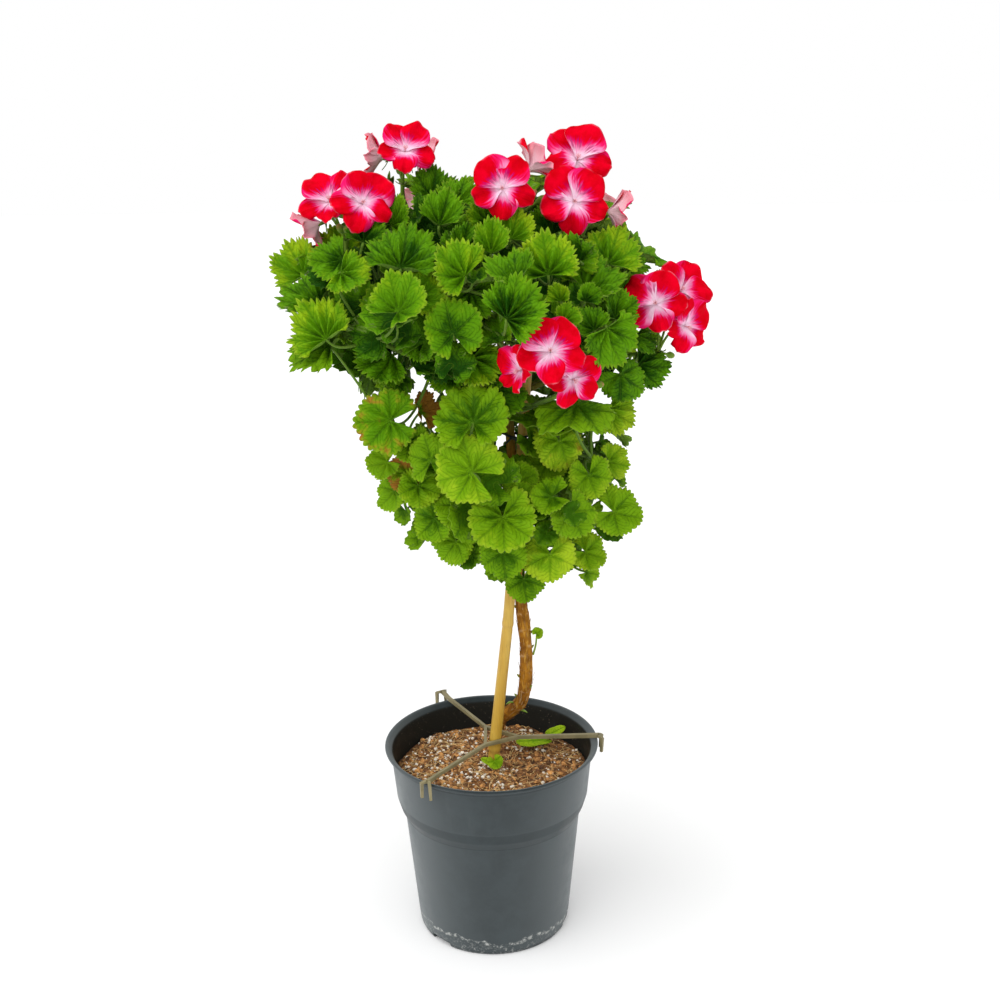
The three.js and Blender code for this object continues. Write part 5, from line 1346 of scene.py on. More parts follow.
# Pot, soil, clip, cane, tie and stem
POT_SIDES, SOIL_SIDES, SOIL_RINGS = 168, 200, 72
WALL_STEP, WALL_RADIUS, WALL_SLOPE = 0.129, 0.0842, 0.0947  # inner wall over the step, in metres
LIME_LEVEL = 0.0135  # the white line that water left on the foot, in metres
SOIL_TOP = (85.2, 1.2)  # outer and inner radius of the rough top
LOOSE_RADIUS = 82.5  # grains lie within it
FIBRES, FIBRE_RADIUS, FIBRE_END = 900, 82, 83
PERLITE_GRAINS, BARK_CRUMBS = 1200, 1700
CANE_TAPER = [[22, 120, 176, 284, 446, 525], [5.5, 5.4, 5.2, 4.7, 4.1, 3.7]]  # heights, radii
CANE_NODES = ((60, 0.4), (168, 0.4), (288, 0.15), (450, 1.0))  # height, how dark
CANE_STAIN = 269
CANE_STEPS, CANE_SIDES = 260, 28
STEM_STEPS, STEM_SIDES = 300, 36
LEAF_SCARS = [181, 203, 222, 243, 257, 266, 281, 296, 312, 330, 352, 380, 410]
BARK_FLAKES = 110
STEM_BUDS = ((212, 160), (224, -30), (233, 160), (262, 20), (276, 20), (301, 185), (318, -10))
STEM_SCALES = ((196, -20, 10), (206, 190, 8))  # height, way, length
HOLE_CUT = 0.018  # length of the tool that cuts a drain hole, in metres


def rounded_outline(outline, radius, steps):
    """Each corner of an open outline is replaced by a short curve that starts and ends a little
    way along its two sides: (1-t)^2 start + 2t(1-t) corner + t^2 end."""
    points = np.asarray(outline, float)
    out = [points[0]]
    for before, here, after in zip(points[:-2], points[1:-1], points[2:]):
        reach = min(radius, 0.45 * np.linalg.norm(before - here), 0.45 * np.linalg.norm(after - here))
        start, end = here + unit(before - here) * reach, here + unit(after - here) * reach
        t = np.linspace(0, 1, steps)[:, None]
        out.extend((1 - t) ** 2 * start + 2 * t * (1 - t) * here + t ** 2 * end)
    out.append(points[-1])
    return np.array(out)


def lathe(outline, count, warp=None):
    """Points (radius sin turn, -radius cos turn, height) of an outline turned round the z axis."""
    turn = np.arange(count) / count * tau
    radius, height = outline[:, :1], outline[:, 1:]
    x, y, z = np.broadcast_arrays(radius * np.sin(turn), -radius * np.cos(turn), height)
    grid = np.stack([x, y, z], -1)
    return warp(grid) if warp else grid


def add_lathe(sheaf, outline, count, tint, warp=None):
    """A closed turned body whose outline starts and ends on the axis."""
    grid = lathe(outline[1:-1], count, warp)
    rows = len(grid)
    points = np.vstack([grid.reshape(-1, 3), [[0, 0, outline[0][1]], [0, 0, outline[-1][1]]]])
    uv = np.vstack([ring_uv(count, np.linspace(0, 1, rows)), [[0.5, 0]], [[0.5, 1]]])
    sheaf.add(points, *ring_faces(rows, count), uv, tint)


def pot_material():
    """Matt grey plastic: faint turning marks, scuffs, soil dust inside and lime at the foot, with a
    painted sheen on the sides seen edge-on and painted shade on the inner wall.

    The inner wall is where the radius passes that of a cone, WALL_RADIUS + WALL_SLOPE times the
    height over the step, by less than a hair.
    """
    material, tree, shader = graph("pot_plastic")
    place = tree.nodes.new("ShaderNodeTexCoord")
    split = tree.nodes.new("ShaderNodeSeparateXYZ")
    tree.links.new(place.outputs["Object"], split.inputs["Vector"])
    height = split.outputs[2]
    radius = length(split.outputs[0], split.outputs[1])
    facing = tree.nodes.new("ShaderNodeSeparateXYZ")
    tree.links.new(place.outputs["Normal"], facing.inputs["Vector"])
    colour, scuff = two_tone(tree, (0.006, 0.012, 0.014), (0.018, 0.027, 0.03), 40.0, 6.0, 0.65,
                             between=(0.35, 0.7))
    # painted sheen: the sides seen edge-on are lightened as a reflection of a bright room would be; the
    # shoulder that faces down gets less of it and stays darker as painted shade
    painted_edge_sheen = tree.nodes.new("ShaderNodeLayerWeight").outputs["Facing"]
    upright = step(facing.outputs[2], -0.3, -0.14, 0.45, 1.0)
    colour = blend(times(painted_edge_sheen, upright), colour, (0.165, 0.184, 0.19))

    slope = times(minus(height, WALL_STEP), WALL_SLOPE)
    behind = minus(minus(radius, slope), WALL_RADIUS)
    hollow = times(step(height, 0.171, 0.174, 1.0, 0.0), step(behind, 0.0003, 0.0009, 1.0, 0.0))
    upper_wall = times(hollow, step(height, 0.128, 0.134))
    # painted shade: the inner wall above the step is coloured dark, without the painted sheen, as the pot's
    # hollow
    colour = blend(upper_wall, colour, (0.015, 0.015, 0.0125))
    streaks = noise(tree, 60.0, 4.0, 0.6, stretch=(1, 1, 0.15))
    colour = blend(step(streaks, 0.6, 0.85, 0.0, 0.25), colour, (0.13, 0.14, 0.14))

    line = plus(height, swing(noise(tree, 45.0, 3.0), 0.022))
    lime = times(step(away_from(line, LIME_LEVEL), 0.0006, 0.0024, 1.0, 0.0),
                 step(noise(tree, 260.0, 4.0, 0.7), 0.42, 0.66))
    below = times(step(line, 0.004, 0.014, 1.0, 0.0),
                  step(noise(tree, 330.0, 5.0, 0.75), 0.5, 0.68))
    outside = step(radius, 0.064, 0.0655)
    lime = times(larger(lime, times(below, 0.75)), outside)
    colour = blend(times(lime, 0.7), colour, (0.55, 0.56, 0.53))

    dust = times(step(height, 0.135, 0.16, 1.0, 0.0), step(noise(tree, 500.0, 4.0, 0.7), 0.55, 0.7))
    colour = blend(times(dust, minus(1.0, outside)), colour, (0.12, 0.075, 0.05))
    specks = times(upper_wall, step(noise(tree, 700.0, 3.0, 0.7), 0.66, 0.72))
    colour = blend(specks, colour, (0.3, 0.25, 0.18))
    put(shader.inputs["Base Color"], colour)
    put(shader.inputs["Specular IOR Level"], step(upper_wall, 0.0, 1.0, 0.17, 0.1))
    rough_parts = plus(scuff, times(lime, 0.5))
    put(shader.inputs["Roughness"], step(rough_parts, 0.3, 0.9, 0.38, 0.72))
    bump(tree, shader, plus(times(noise(tree, 900.0, 2.0), 0.3), lime), 0.0004, 0.5)
    return material


def make_pot():
    """The pot's outline turned round, its drain holes and foot notches cut out."""
    sheaf = Sheaf()
    outline = rounded_outline(POT_OUTLINE, 1.2, 4)
    add_lathe(sheaf, outline, POT_SIDES, PLAIN)
    pot = shown(sheaf, "pot_shell", pot_material(), "pot", "pot")
    cutters = []
    for i in range(DRAIN_HOLES["count"]):
        turn = (i + 0.5) / DRAIN_HOLES["count"] * tau
        place = Vector((DRAIN_HOLES["ring"] * cos(turn), DRAIN_HOLES["ring"] * sin(turn), 0))
        bpy.ops.mesh.primitive_cylinder_add(vertices=40, radius=DRAIN_HOLES["radius"] * MM,
                                            depth=HOLE_CUT, location=place * MM)
        cutters.append(bpy.context.object)
    reach = POT_OUTLINE[1][0] + 1
    for turn in FOOT_NOTCHES["turns"]:
        angle = radians(turn)
        place = Vector((reach * cos(angle), reach * sin(angle), 0)) * MM
        bpy.ops.mesh.primitive_cube_add(size=1, location=place, rotation=(0, 0, angle))
        notch = bpy.context.object
        notch.scale = (2 * FOOT_NOTCHES["depth"] * MM, FOOT_NOTCHES["width"] * MM,
                       2 * FOOT_NOTCHES["height"] * MM)
        cutters.append(notch)
    bpy.context.view_layer.update()
    for cutter in cutters:
        cut = pot.modifiers.new("cut", "BOOLEAN")
        cut.operation, cut.object, cut.solver = "DIFFERENCE", cutter, "EXACT"
    depsgraph = bpy.context.evaluated_depsgraph_get()
    mesh = bpy.data.meshes.new_from_object(pot.evaluated_get(depsgraph))
    pot.modifiers.clear()
    pot.data = mesh
    for cutter in cutters:
        bpy.data.objects.remove(cutter)
    smooth_by_angle(pot, 35)


def smooth_by_angle(piece, degrees):
    """Shades smooth, with edges sharper than the angle kept sharp."""
    mesh = piece.data
    mesh.polygons.foreach_set("use_smooth", np.ones(len(mesh.polygons), bool))
    mesh.set_sharp_from_angle(angle=radians(degrees))


def soil_height(x, y):
    """Height of the soil's top: its level, a slow mound and three sizes of crumbs."""
    radius = np.hypot(x, y)
    turn = np.arctan2(x, -y)
    mound = 3 * np.cos(turn + 0.7) * (1 - radius / 110)
    flat = np.stack([x, y, 0 * x], -1)
    lumps = 1.8 * rough(flat, 13, 1) + 1.4 * rough(flat, 5, 2) + 0.9 * rough(flat, 2.4, 3)
    fade = np.clip((radius - 76) / 9, 0, 1)
    return SOIL_LEVEL + mound * (1 - fade) + lumps - 1.2 * fade


def make_soil():
    """The soil's body, with a rough top, then perlite, crumbs of bark and fibres lying on it."""
    sheaf = Sheaf()
    top = np.linspace(*SOIL_TOP, SOIL_RINGS)
    outline = np.vstack([[[0, SOIL_WALL[0][1]]], np.array(SOIL_WALL),
                         np.stack([top, np.full(SOIL_RINGS, SOIL_LEVEL)], -1), [[0, SOIL_LEVEL]]])

    def warp(grid):
        """Lifts the top to the soil's height."""
        rows = grid[len(SOIL_WALL):]
        rows[..., 2] = soil_height(rows[..., 0], rows[..., 1])
        return grid

    add_lathe(sheaf, outline, SOIL_SIDES, PLAIN, warp)
    peat = mottled_material("peat", (0.018, 0.007, 0.003), (0.33, 0.14, 0.04), 260.0, (0.85, 1.0), 0.0018)
    white = mottled_material("perlite_grain", (0.72, 0.63, 0.5), (0.95, 0.9, 0.8), 700.0,
                             (0.8, 0.95), 0.0004, 0.25)
    brown = mottled_material("bark_crumb", (0.11, 0.038, 0.01), (0.74, 0.36, 0.11), 190.0,
                             (0.8, 0.95), 0.0006, 0.85)
    tan = mottled_material("coir_fibre", (0.4, 0.2, 0.06), (0.85, 0.6, 0.27), 220.0,
                           (0.75, 0.9), 0.0003, 0.6)
    shown(sheaf, "soil_bed", peat, "soil", "soil")
    scatter("perlite", white, PERLITE_GRAINS, (0.5, 2.0), 1, 0.25, True)
    scatter("bark_crumbs", brown, BARK_CRUMBS, (0.8, 2.8), 2, 0.7, False)
    fibres = Sheaf()
    for i in range(FIBRES):
        add_fibre(fibres, chance(i * 11 + 50000 + np.arange(6)))
    shown(fibres, "soil_fibres", tan, "soil")


def add_fibre(sheaf, draw):
    """A fibre that lies bowed on the soil: length (s along + bow s^2 across), its middle lifted
    by 1 - 4 s^2, and kept within the pot's wall."""
    radius, turn = FIBRE_RADIUS * sqrt(draw[0]), tau * draw[1]
    x, y = radius * cos(turn), radius * sin(turn)
    heading, long = tau * draw[2], 4 + 13 * draw[3] ** 2
    s = np.linspace(-0.5, 0.5, 6)
    bow = 0.5 * (draw[4] - 0.5)
    px = x + long * (s * cos(heading) - bow * s * s * sin(heading))
    py = y + long * (s * sin(heading) + bow * s * s * cos(heading))
    far = np.hypot(px, py)
    px, py = px * np.minimum(1, FIBRE_END / far), py * np.minimum(1, FIBRE_END / far)
    pz = soil_height(px, py) + 0.35 + 1.2 * draw[5] * (1 - 4 * s * s)
    radii = [0.16, 0.3, 0.34, 0.34, 0.28, 0.14]
    add_tube(sheaf, np.stack([px, py, pz], -1), radii, 4, (draw[3], 0, 0, 1))


GOLD = (1 + sqrt(5)) / 2
GRAIN_CORNERS = unit(np.array([
    [-1, GOLD, 0], [1, GOLD, 0], [-1, -GOLD, 0], [1, -GOLD, 0], [0, -1, GOLD], [0, 1, GOLD],
    [0, -1, -GOLD], [0, 1, -GOLD], [GOLD, 0, -1], [GOLD, 0, 1], [-GOLD, 0, -1], [-GOLD, 0, 1]]))
GRAIN_FACES = np.array([
    [0, 11, 5], [0, 5, 1], [0, 1, 7], [0, 7, 10], [0, 10, 11], [1, 5, 9], [5, 11, 4],
    [11, 10, 2], [10, 7, 6], [7, 1, 8], [3, 9, 4], [3, 4, 2], [3, 2, 6], [3, 6, 8], [3, 8, 9],
    [4, 9, 5], [2, 4, 11], [6, 2, 10], [8, 6, 7], [9, 8, 1]])


def scatter(name, material, count, size, seed, flat, clustered):
    """Irregular grains that lie half sunk on the soil, clear of the cane.

    The corners of an icosahedron are moved in and out by chance, squashed by flat and turned by
    chance. Clustered grains are kept where a slow noise is high, and more of them to the left.
    """
    draw = chance(np.arange(count)[:, None] * 23 + seed * 100000 + np.arange(20)[None])
    radius, turn = LOOSE_RADIUS * np.sqrt(draw[:, 0]), tau * draw[:, 1]
    x, y = radius * np.cos(turn), radius * np.sin(turn)
    keep = np.hypot(x - 2, y) > 7
    if clustered:
        slow = rough(np.stack([x, y, 0 * x], -1), 16, 3)
        keep &= slow * 0.9 - x / 110 + 0.28 > draw[:, 19] - 0.45
    big = size[0] + (size[1] - size[0]) * draw[:, 2] ** 2
    squash = np.stack([1 + 0.5 * flat * draw[:, 15], 1 - 0.3 * flat * draw[:, 16],
                       np.full(count, 1 - 0.6 * flat)], -1)
    corner = GRAIN_CORNERS[None] * (0.75 + 0.45 * draw[:, 3:15, None]) * squash[:, None]
    heading, tilt = tau * draw[:, 17:18], 1.2 * (draw[:, 18:19] - 0.5)
    cx = corner[..., 0] * np.cos(tilt) - corner[..., 2] * np.sin(tilt)
    cz = corner[..., 0] * np.sin(tilt) + corner[..., 2] * np.cos(tilt)
    px = cx * np.cos(heading) - corner[..., 1] * np.sin(heading)
    py = cx * np.sin(heading) + corner[..., 1] * np.cos(heading)
    points = np.stack([px, py, cz], -1) * big[:, None, None]
    points = points + np.stack([x, y, soil_height(x, y) + 0.25 * big], -1)[:, None]
    points, tone = points[keep], draw[keep, 19]
    total, corners = len(points), len(GRAIN_CORNERS)
    tris = (GRAIN_FACES[None] + corners * np.arange(total)[:, None, None]).reshape(-1, 3)
    tint = np.repeat(np.stack([tone, 0 * tone, 0 * tone, 0 * tone + 1], -1), corners, axis=0)
    sheaf = Sheaf()
    sheaf.add(points.reshape(-1, 3), [], tris, np.zeros((corners * total, 2)), tint)
    piece = shown(sheaf, "soil_" + name, material, "soil")
    piece.data.polygons.foreach_set("use_smooth", np.zeros(len(piece.data.polygons), bool))


def bevelled_copy(node, name, material, width):
    """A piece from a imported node's mesh: doubles merged, flat faces joined and edges rounded."""
    piece = bpy.data.objects.new(name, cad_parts[node].data.copy())
    scene.collection.objects.link(piece)
    mesh = bmesh.new()
    mesh.from_mesh(piece.data)
    bmesh.ops.remove_doubles(mesh, verts=mesh.verts, dist=0.00002)
    bmesh.ops.dissolve_limit(mesh, angle_limit=radians(2), verts=mesh.verts, edges=mesh.edges)
    bmesh.ops.recalc_face_normals(mesh, faces=mesh.faces)
    mesh.to_mesh(piece.data)
    mesh.free()
    piece.data.materials.clear()
    piece.data.materials.append(material)
    bevel = piece.modifiers.new("edges", "BEVEL")
    bevel.width, bevel.segments, bevel.limit_method = width * MM, 2, "ANGLE"
    bevel.angle_limit = radians(40)
    smooth_by_angle(piece, 50)
    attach(piece, "root")
    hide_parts(node)
    return piece


def cane_material():
    """Bamboo: tan skin with fine lengthwise fibres, darker at the nodes and stained on one side."""
    material, tree, shader = graph("bamboo")
    node_share, stain, _, _ = tint_parts(tree)
    turn = uv_parts(tree)[0]
    stain = times(stain, step(away_from(turn, 0.2), 0.04, 0.1, 1.0, 0.0))
    fibre = noise(tree, 1100.0, 3.0, 0.6, stretch=(1, 1, 0.03))
    colour, _ = two_tone(tree, (0.48, 0.27, 0.02), (0.6, 0.39, 0.06), 55.0, 4.0,
                         stretch=(1, 1, 0.35), between=(0.3, 0.75))
    colour = blend(step(fibre, 0.48, 0.7, 0.0, 0.5), colour, (0.34, 0.2, 0.03))
    colour = blend(node_share, colour, (0.24, 0.085, 0.025))
    stain = times(stain, step(noise(tree, 300.0, 4.0), 0.34, 0.5))
    colour = blend(stain, colour, (0.13, 0.05, 0.02))
    put(shader.inputs["Base Color"], colour)
    put(shader.inputs["Roughness"], step(fibre, 0.3, 0.8, 0.38, 0.6))
    bump(tree, shader, fibre, 0.0003, 0.5)
    return material


def around(radius, sides, heights):
    """Places for noise round a pole: (radius cos turn, radius sin turn, height)."""
    turn = np.arange(sides) / sides * tau
    x, y, z = np.broadcast_arrays(radius * np.cos(turn)[None], radius * np.sin(turn)[None], heights[:, None])
    return np.stack([x, y, z], -1)


def bell(heights, middle, width):
    """e^-((height - middle) / width)^2."""
    return np.exp(-((heights - middle) / width) ** 2)


def make_cane():
    """The cane's line with its own slight swell, and at each node a dark ring raised by two bells
    above a narrow groove."""
    sheaf = Sheaf()
    line = np.array(CANE_LINE, float)
    heights = np.linspace(line[0, 2], line[-1, 2], CANE_STEPS + 1)
    points = np.stack([np.interp(heights, line[:, 2], line[:, k]) for k in range(3)], -1)
    plain = np.interp(heights, *CANE_TAPER)
    rings = np.zeros_like(heights)
    dark = np.zeros_like(heights)
    for node, shade in CANE_NODES:
        rings += 0.55 * bell(heights, node, 1.3) + 0.3 * bell(heights, node + 3, 2.5)
        rings -= 0.2 * bell(heights, node - 2.5, 1.2)
        dark += shade * bell(heights, node - 1.2, 1.9)
    tint = np.stack([np.clip(dark, 0, 1), bell(heights, CANE_STAIN, 2.6), 0 * dark, 0 * dark + 1], -1)
    swell = 0.018 * rough(around(30, CANE_SIDES, heights), 24, 5)
    add_tube(sheaf, points, plain + rings, CANE_SIDES, tint, swell)
    shown(sheaf, "cane_pole", cane_material(), "cane", "cane")


def bark_material():
    """Woody bark: orange-brown, split lengthwise, with pale fibres and dark cracks."""
    material, tree, shader = graph("bark")
    scar, young, _, _ = tint_parts(tree)
    split = noise(tree, 420.0, 5.0, 0.65, stretch=(1, 1, 0.16))
    colour, _ = two_tone(tree, (0.19, 0.066, 0.004), (0.42, 0.175, 0.01), 90.0, 4.0)
    colour = blend(step(split, 0.53, 0.68, 0.0, 0.8), colour, (0.54, 0.28, 0.035))
    colour = blend(step(split, 0.26, 0.42, 0.85, 0.0), colour, (0.05, 0.02, 0.008))
    scar = times(scar, step(noise(tree, 240.0, 2.0), 0.42, 0.62, 0.0, 0.6))
    colour = blend(scar, colour, (0.6, 0.4, 0.2))
    colour = blend(times(young, 0.85), colour, (0.16, 0.22, 0.04))
    put(shader.inputs["Base Color"], colour)
    put(shader.inputs["Roughness"], step(split, 0.3, 0.8, 0.9, 0.65))
    shader.inputs["Specular IOR Level"].default_value = 0.2
    bump(tree, shader, split, 0.0012, 1.0)
    return material


def make_stem(bark):
    """The woody stem: its line as a spline, with ridges of bark, leaf scars, flakes and buds.

    Radius (1 + 0.07 fine noise + 0.05 slow noise + 0.05 scar (1 + noise)), green towards the top.
    """
    sheaf = Sheaf()
    line, radii = smooth_line(STEM_LINE, STEM_RADII, STEM_STEPS)
    scar = bell(line[:, 2:], np.array(LEAF_SCARS)[None], 1.1).sum(1)
    places = around(6, STEM_SIDES, line[:, 2] * 0.3)
    swell = (0.07 * rough(places, 2.2, 7) + 0.05 * rough(places, 5, 8)
             + 0.05 * scar[:, None] * (1 + rough(places, 3, 9)))
    young = np.clip((line[:, 2] - 430) / 60, 0, 1)
    tint = np.stack([np.clip(scar, 0, 1), young, 0 * young, 0 * young + 1], -1)
    add_tube(sheaf, line, radii * 0.97, STEM_SIDES, tint, swell)
    shown(sheaf, "stem_bark", bark, "woody_stem", "woody_stem")
    flakes = Sheaf()
    frames = ring_frames(line)
    for i in range(BARK_FLAKES):
        add_flake(flakes, line, radii, frames, chance(i * 13 + 9000 + np.arange(6)))
    shown(flakes, "stem_flakes", bark, "woody_stem")
    buds = Sheaf()
    up = np.array([0, 0, 1])
    for height, way in STEM_BUDS:
        point, radius, out = stem_side(height, way)
        s = np.linspace(0, 1, 8)[:, None]
        bud = point + out * (radius * 0.8 + 3.4 * s) + up * 2.6 * s ** 1.5
        add_tube(buds, bud, 1.2 * np.sqrt(np.clip(1 - s[:, 0] ** 2, 0.02, 1)), 8, (0.55, 0.25, 0, 1))
    for height, way, long in STEM_SCALES:
        point, radius, out = stem_side(height, way)
        s = np.linspace(0, 1, 9)[:, None]
        leaflet = point + out * (radius * 0.7 + long * s) + up * (3 * s - 4 * s ** 2.5)
        half = 2.2 * np.sin(pi * np.clip(s[:, 0], 0.05, 0.97)) ** 0.7
        add_strip(buds, leaflet, (-out[1], out[0], 0), half, 0.3, (0.8, 0.1, 0, 1))
    shown(buds, "stem_buds", stalk_material, "sprout")


def stem_side(height, way):
    """The stem's middle and radius at a height, and the level direction at way degrees."""
    point, radius = at_height(STEM_LINE, STEM_RADII, height)
    return point, radius, np.array([cos(radians(way)), sin(radians(way)), 0.0])


def add_flake(sheaf, line, radii, frames, draw):
    """A scrap of bark along the stem whose upper end stands off by up to 2, with s^3."""
    side, other = frames
    last = len(line) - 1
    k = int((0.1 + 0.62 * draw[0]) * last)
    out = side[k] * cos(tau * draw[1]) + other[k] * sin(tau * draw[1])
    span = int(4 + 7 * draw[2])
    rows = np.clip(np.arange(k - span, k + span + 1), 0, last)
    s = np.linspace(0, 1, len(rows))[:, None]
    lift = 0.05 + (0.5 + 1.4 * draw[3]) * s ** 3
    strip = line[rows] + out * (radii[rows][:, None] + lift)
    half = (0.35 + 0.6 * draw[4]) * np.sin(pi * np.clip(s[:, 0], 0.06, 0.97)) ** 0.5
    wide = np.cross(out, line[rows[-1]] - line[rows[0]])
    add_strip(sheaf, strip, wide, half, 0.12, (0.2 + 0.6 * draw[5], 0, 0, 1))


def make_tie():
    """Two half loops round cane and stem, crossing in front, and a long pointed end."""
    cane, cane_radius = at_height(CANE_LINE, CANE_RADII, TIE_HEIGHT)
    stem, stem_radius = at_height(STEM_LINE, STEM_RADII, TIE_HEIGHT)
    away = unit(stem - cane)
    across = unit(np.array([-away[1], away[0], 0]))
    air = CLEARANCE + TIE_RADIUS + 0.5

    def round_about(centre, radius, turn, rise):
        """A corner of the tie at a turn round the stem or the cane."""
        place = centre + (away * cos(turn) + across * sin(turn)) * (radius + air)
        return [place[0], place[1], TIE_HEIGHT + rise]

    left = [round_about(stem, stem_radius, turn, 0.4 * i)
            for i, turn in enumerate((-1.5, -0.9, -0.1, 0.7, 1.4))]
    right = [round_about(cane, cane_radius, turn, -0.5 * i)
             for i, turn in enumerate((-1.9, -2.5, -3.14, -3.8, -4.4))]
    crossing = (np.array(left[4]) + np.array(right[4])) / 2
    sheaf = Sheaf()
    for corners, radii in (
            (left + [right[4]], [TIE_RADIUS] * 6), ([left[0]] + right, [TIE_RADIUS] * 6),
            ([crossing, crossing + (7, -7.5, 1), crossing + (18, -7, 5)], [1.3, 1.4, 0.4]),
            ([crossing, crossing + (-6, -3, -5)], [1.1, 0.7])):
        line, radius = smooth_line(corners, radii, 10 * (len(corners) - 1))
        add_tube(sheaf, line, radius, 10, PLAIN)
    material = mottled_material("tie_rubber", (0.006, 0.012, 0.01), (0.02, 0.036, 0.028), 400.0,
                                (0.45, 0.65), 0.0003)
    shown(sheaf, "tie_band", material, "cane_tie", "cane_tie")


def make_sprouts(blade_material):
    """The stem's thin sprout and the seedlings in the soil, with their leaflets."""
    for name, sprout in SPROUTS.items():
        sheaf, stalk = Sheaf(), Sheaf()
        line, _ = smooth_line(sprout["line"], [1, 1, 1], 12)
        radius = sprout["radius"] * np.linspace(1.05, 0.8, 13)
        add_tube(stalk, line, radius, 8, (0.6, 0.5 if name == "seedling_right" else 0.1, 0, 1))
        for i, leaflet in enumerate(sprout["leaflets"]):
            leaf = dict(leaflet, lobes=3, phase=i)
            place = curve(*sprout["line"], 10)[round(10 * leaflet["at"])]
            axes = axes_of(leaf["face"], leaf["tip"])
            seat = {"root": place + axes[2] * 0.5, "axes": axes}
            add_leaf(sheaf, leaf, seat, (0.8 if i == 0 else 0.95, 0, 0))
        shown(sheaf, f"{name}_leaflets", blade_material, "sprout", name)
        shown(stalk, f"{name}_stalk", stalk_material, "sprout", name)


# Floor and light
SKY_LIGHT = 0.85
FLOOR_HALF = 6.0
LIGHT_AIM = (0, 0, 0.4)
LIGHTS = (  # name, kind, place, angle or width, power
    ("key", "SUN", (-1.5, -1.9, 3.2), radians(80), 1.9),
    ("fill", "AREA", (2.0, -1.4, 1.3), 1.6, 5.0),
)


def make_studio():
    """A plain pale floor under a pale sky, a broad soft key from the upper left and a weak fill.

    The sky is seen white, and lights the plant a little less than it is seen.
    """
    mesh = bpy.data.meshes.new("floor")
    corners = [(x * FLOOR_HALF, y * FLOOR_HALF, 0) for x, y in ((-1, -1), (1, -1), (1, 1), (-1, 1))]
    mesh.from_pydata(corners, [], [(0, 1, 2, 3)])
    floor = bpy.data.objects.new("floor", mesh)
    scene.collection.objects.link(floor)
    material, tree, shader = graph("floor")
    colour = blend(noise(tree, 3.0, 2.0), (0.9, 0.9, 0.9), (0.93, 0.93, 0.93))
    put(shader.inputs["Base Color"], colour)
    shader.inputs["Roughness"].default_value = 0.9
    mesh.materials.append(material)
    world = bpy.data.worlds.new("studio")
    scene.world = world
    world.use_nodes = True
    sky = world.node_tree
    backdrop = sky.nodes["Background"]
    backdrop.inputs["Color"].default_value = (1, 1, 1, 1)
    seen = sky.nodes.new("ShaderNodeLightPath").outputs["Is Camera Ray"]
    put(backdrop.inputs["Strength"], plus(times(seen, 1 - SKY_LIGHT), SKY_LIGHT))
    for name, kind, place, wide, power in LIGHTS:
        light = bpy.data.lights.new(name, kind)
        if kind == "SUN":
            light.angle = wide
        else:
            light.shape, light.size = "SQUARE", wide
        light.energy = power
        lamp = bpy.data.objects.new(name, light)
        scene.collection.objects.link(lamp)
        aim = (Vector(LIGHT_AIM) - Vector(place)).to_track_quat("-Z", "Y")
        lamp.matrix_world = Matrix.Translation(place) @ aim.to_matrix().to_4x4()


make_studio()
stalk_material = stalk_surface_material("stalk", (0.2, 0.37, 0.03), (0.5, 0.12, 0.08))
shoot_material = stalk_surface_material("shoot", (0.14, 0.27, 0.02), (0.24, 0.13, 0.03))
petal_material = petal_surface_material()
leaf_material = leaf_surface_material(
    "upper_leaf", (0.012, 0.066, 0.001), (0.09, 0.245, 0.0015), (0.27, 0.42, 0.006))
lower_material = leaf_surface_material(
    "lower_leaf", (0.04, 0.13, 0.001), (0.145, 0.305, 0.003), (0.31, 0.46, 0.012))
make_pot()
make_soil()
clip_material = mottled_material("clip_plastic", (0.165, 0.14, 0.066), (0.26, 0.22, 0.11), 60.0,
                                 (0.45, 0.6), 0.0002)
bevelled_copy("pot_clip", "clip_body", clip_material, 0.45)
make_cane()
make_tie()
make_stem(bark_material())
make_sprouts(lower_material)


# Shoots with their leaves, and the free space between
NEIGHBOURS = np.stack(np.meshgrid(*[[-1, 0, 1]] * 3), -1).reshape(-1, 3)
ROOM_LOW, ROOM_HIGH = (-210, -210, 300), (210, 210, 740)
ROOM_CELL = 2.4
BLOOM_AIR = 45  # how far in front of a bloom no small leaf stands
EXTRA_TRIES = 130
EXTRA_PER_LEAF = 5
EXTRA_AT_BACK = 11
EXTRA_PER_SHOOT = 6
FRONT_DEPTH = 15  # leaves that lie deeper are at the back
CRAMPED = 0.05  # share of a small leaf's blade that may lie near others
EXTRA_PETIOLE = 88  # longest way from the shoot to a small leaf's foot
CROWN_SHARE = 1.0  # how far towards a tier's outline the small leaves may reach
SHOOT_STEPS, SHOOT_SIDES = 40, 10


class Room:
    """Which small cells of space the crown already fills."""

    def __init__(self, low, high, cell):
        self.low, self.cell = np.array(low, float), cell
        self.full = np.zeros(np.ceil((np.array(high) - low) / cell).astype(int), bool)

    def cells(self, points):
        """The cell that each point lies in, or the nearest one inside."""
        index = np.floor((points.reshape(-1, 3) - self.low) / self.cell).astype(int)
        return np.clip(index, 1, np.array(self.full.shape) - 2)

    def fill(self, points):
        """Marks the cells of points and their neighbours."""
        x, y, z = (np.unique(self.cells(points), axis=0)[:, None] + NEIGHBOURS).reshape(-1, 3).T
        self.full[x, y, z] = True

    def taken(self, points):
        """The share of points that lie in filled cells."""
        x, y, z = self.cells(points).T
        return self.full[x, y, z].mean()


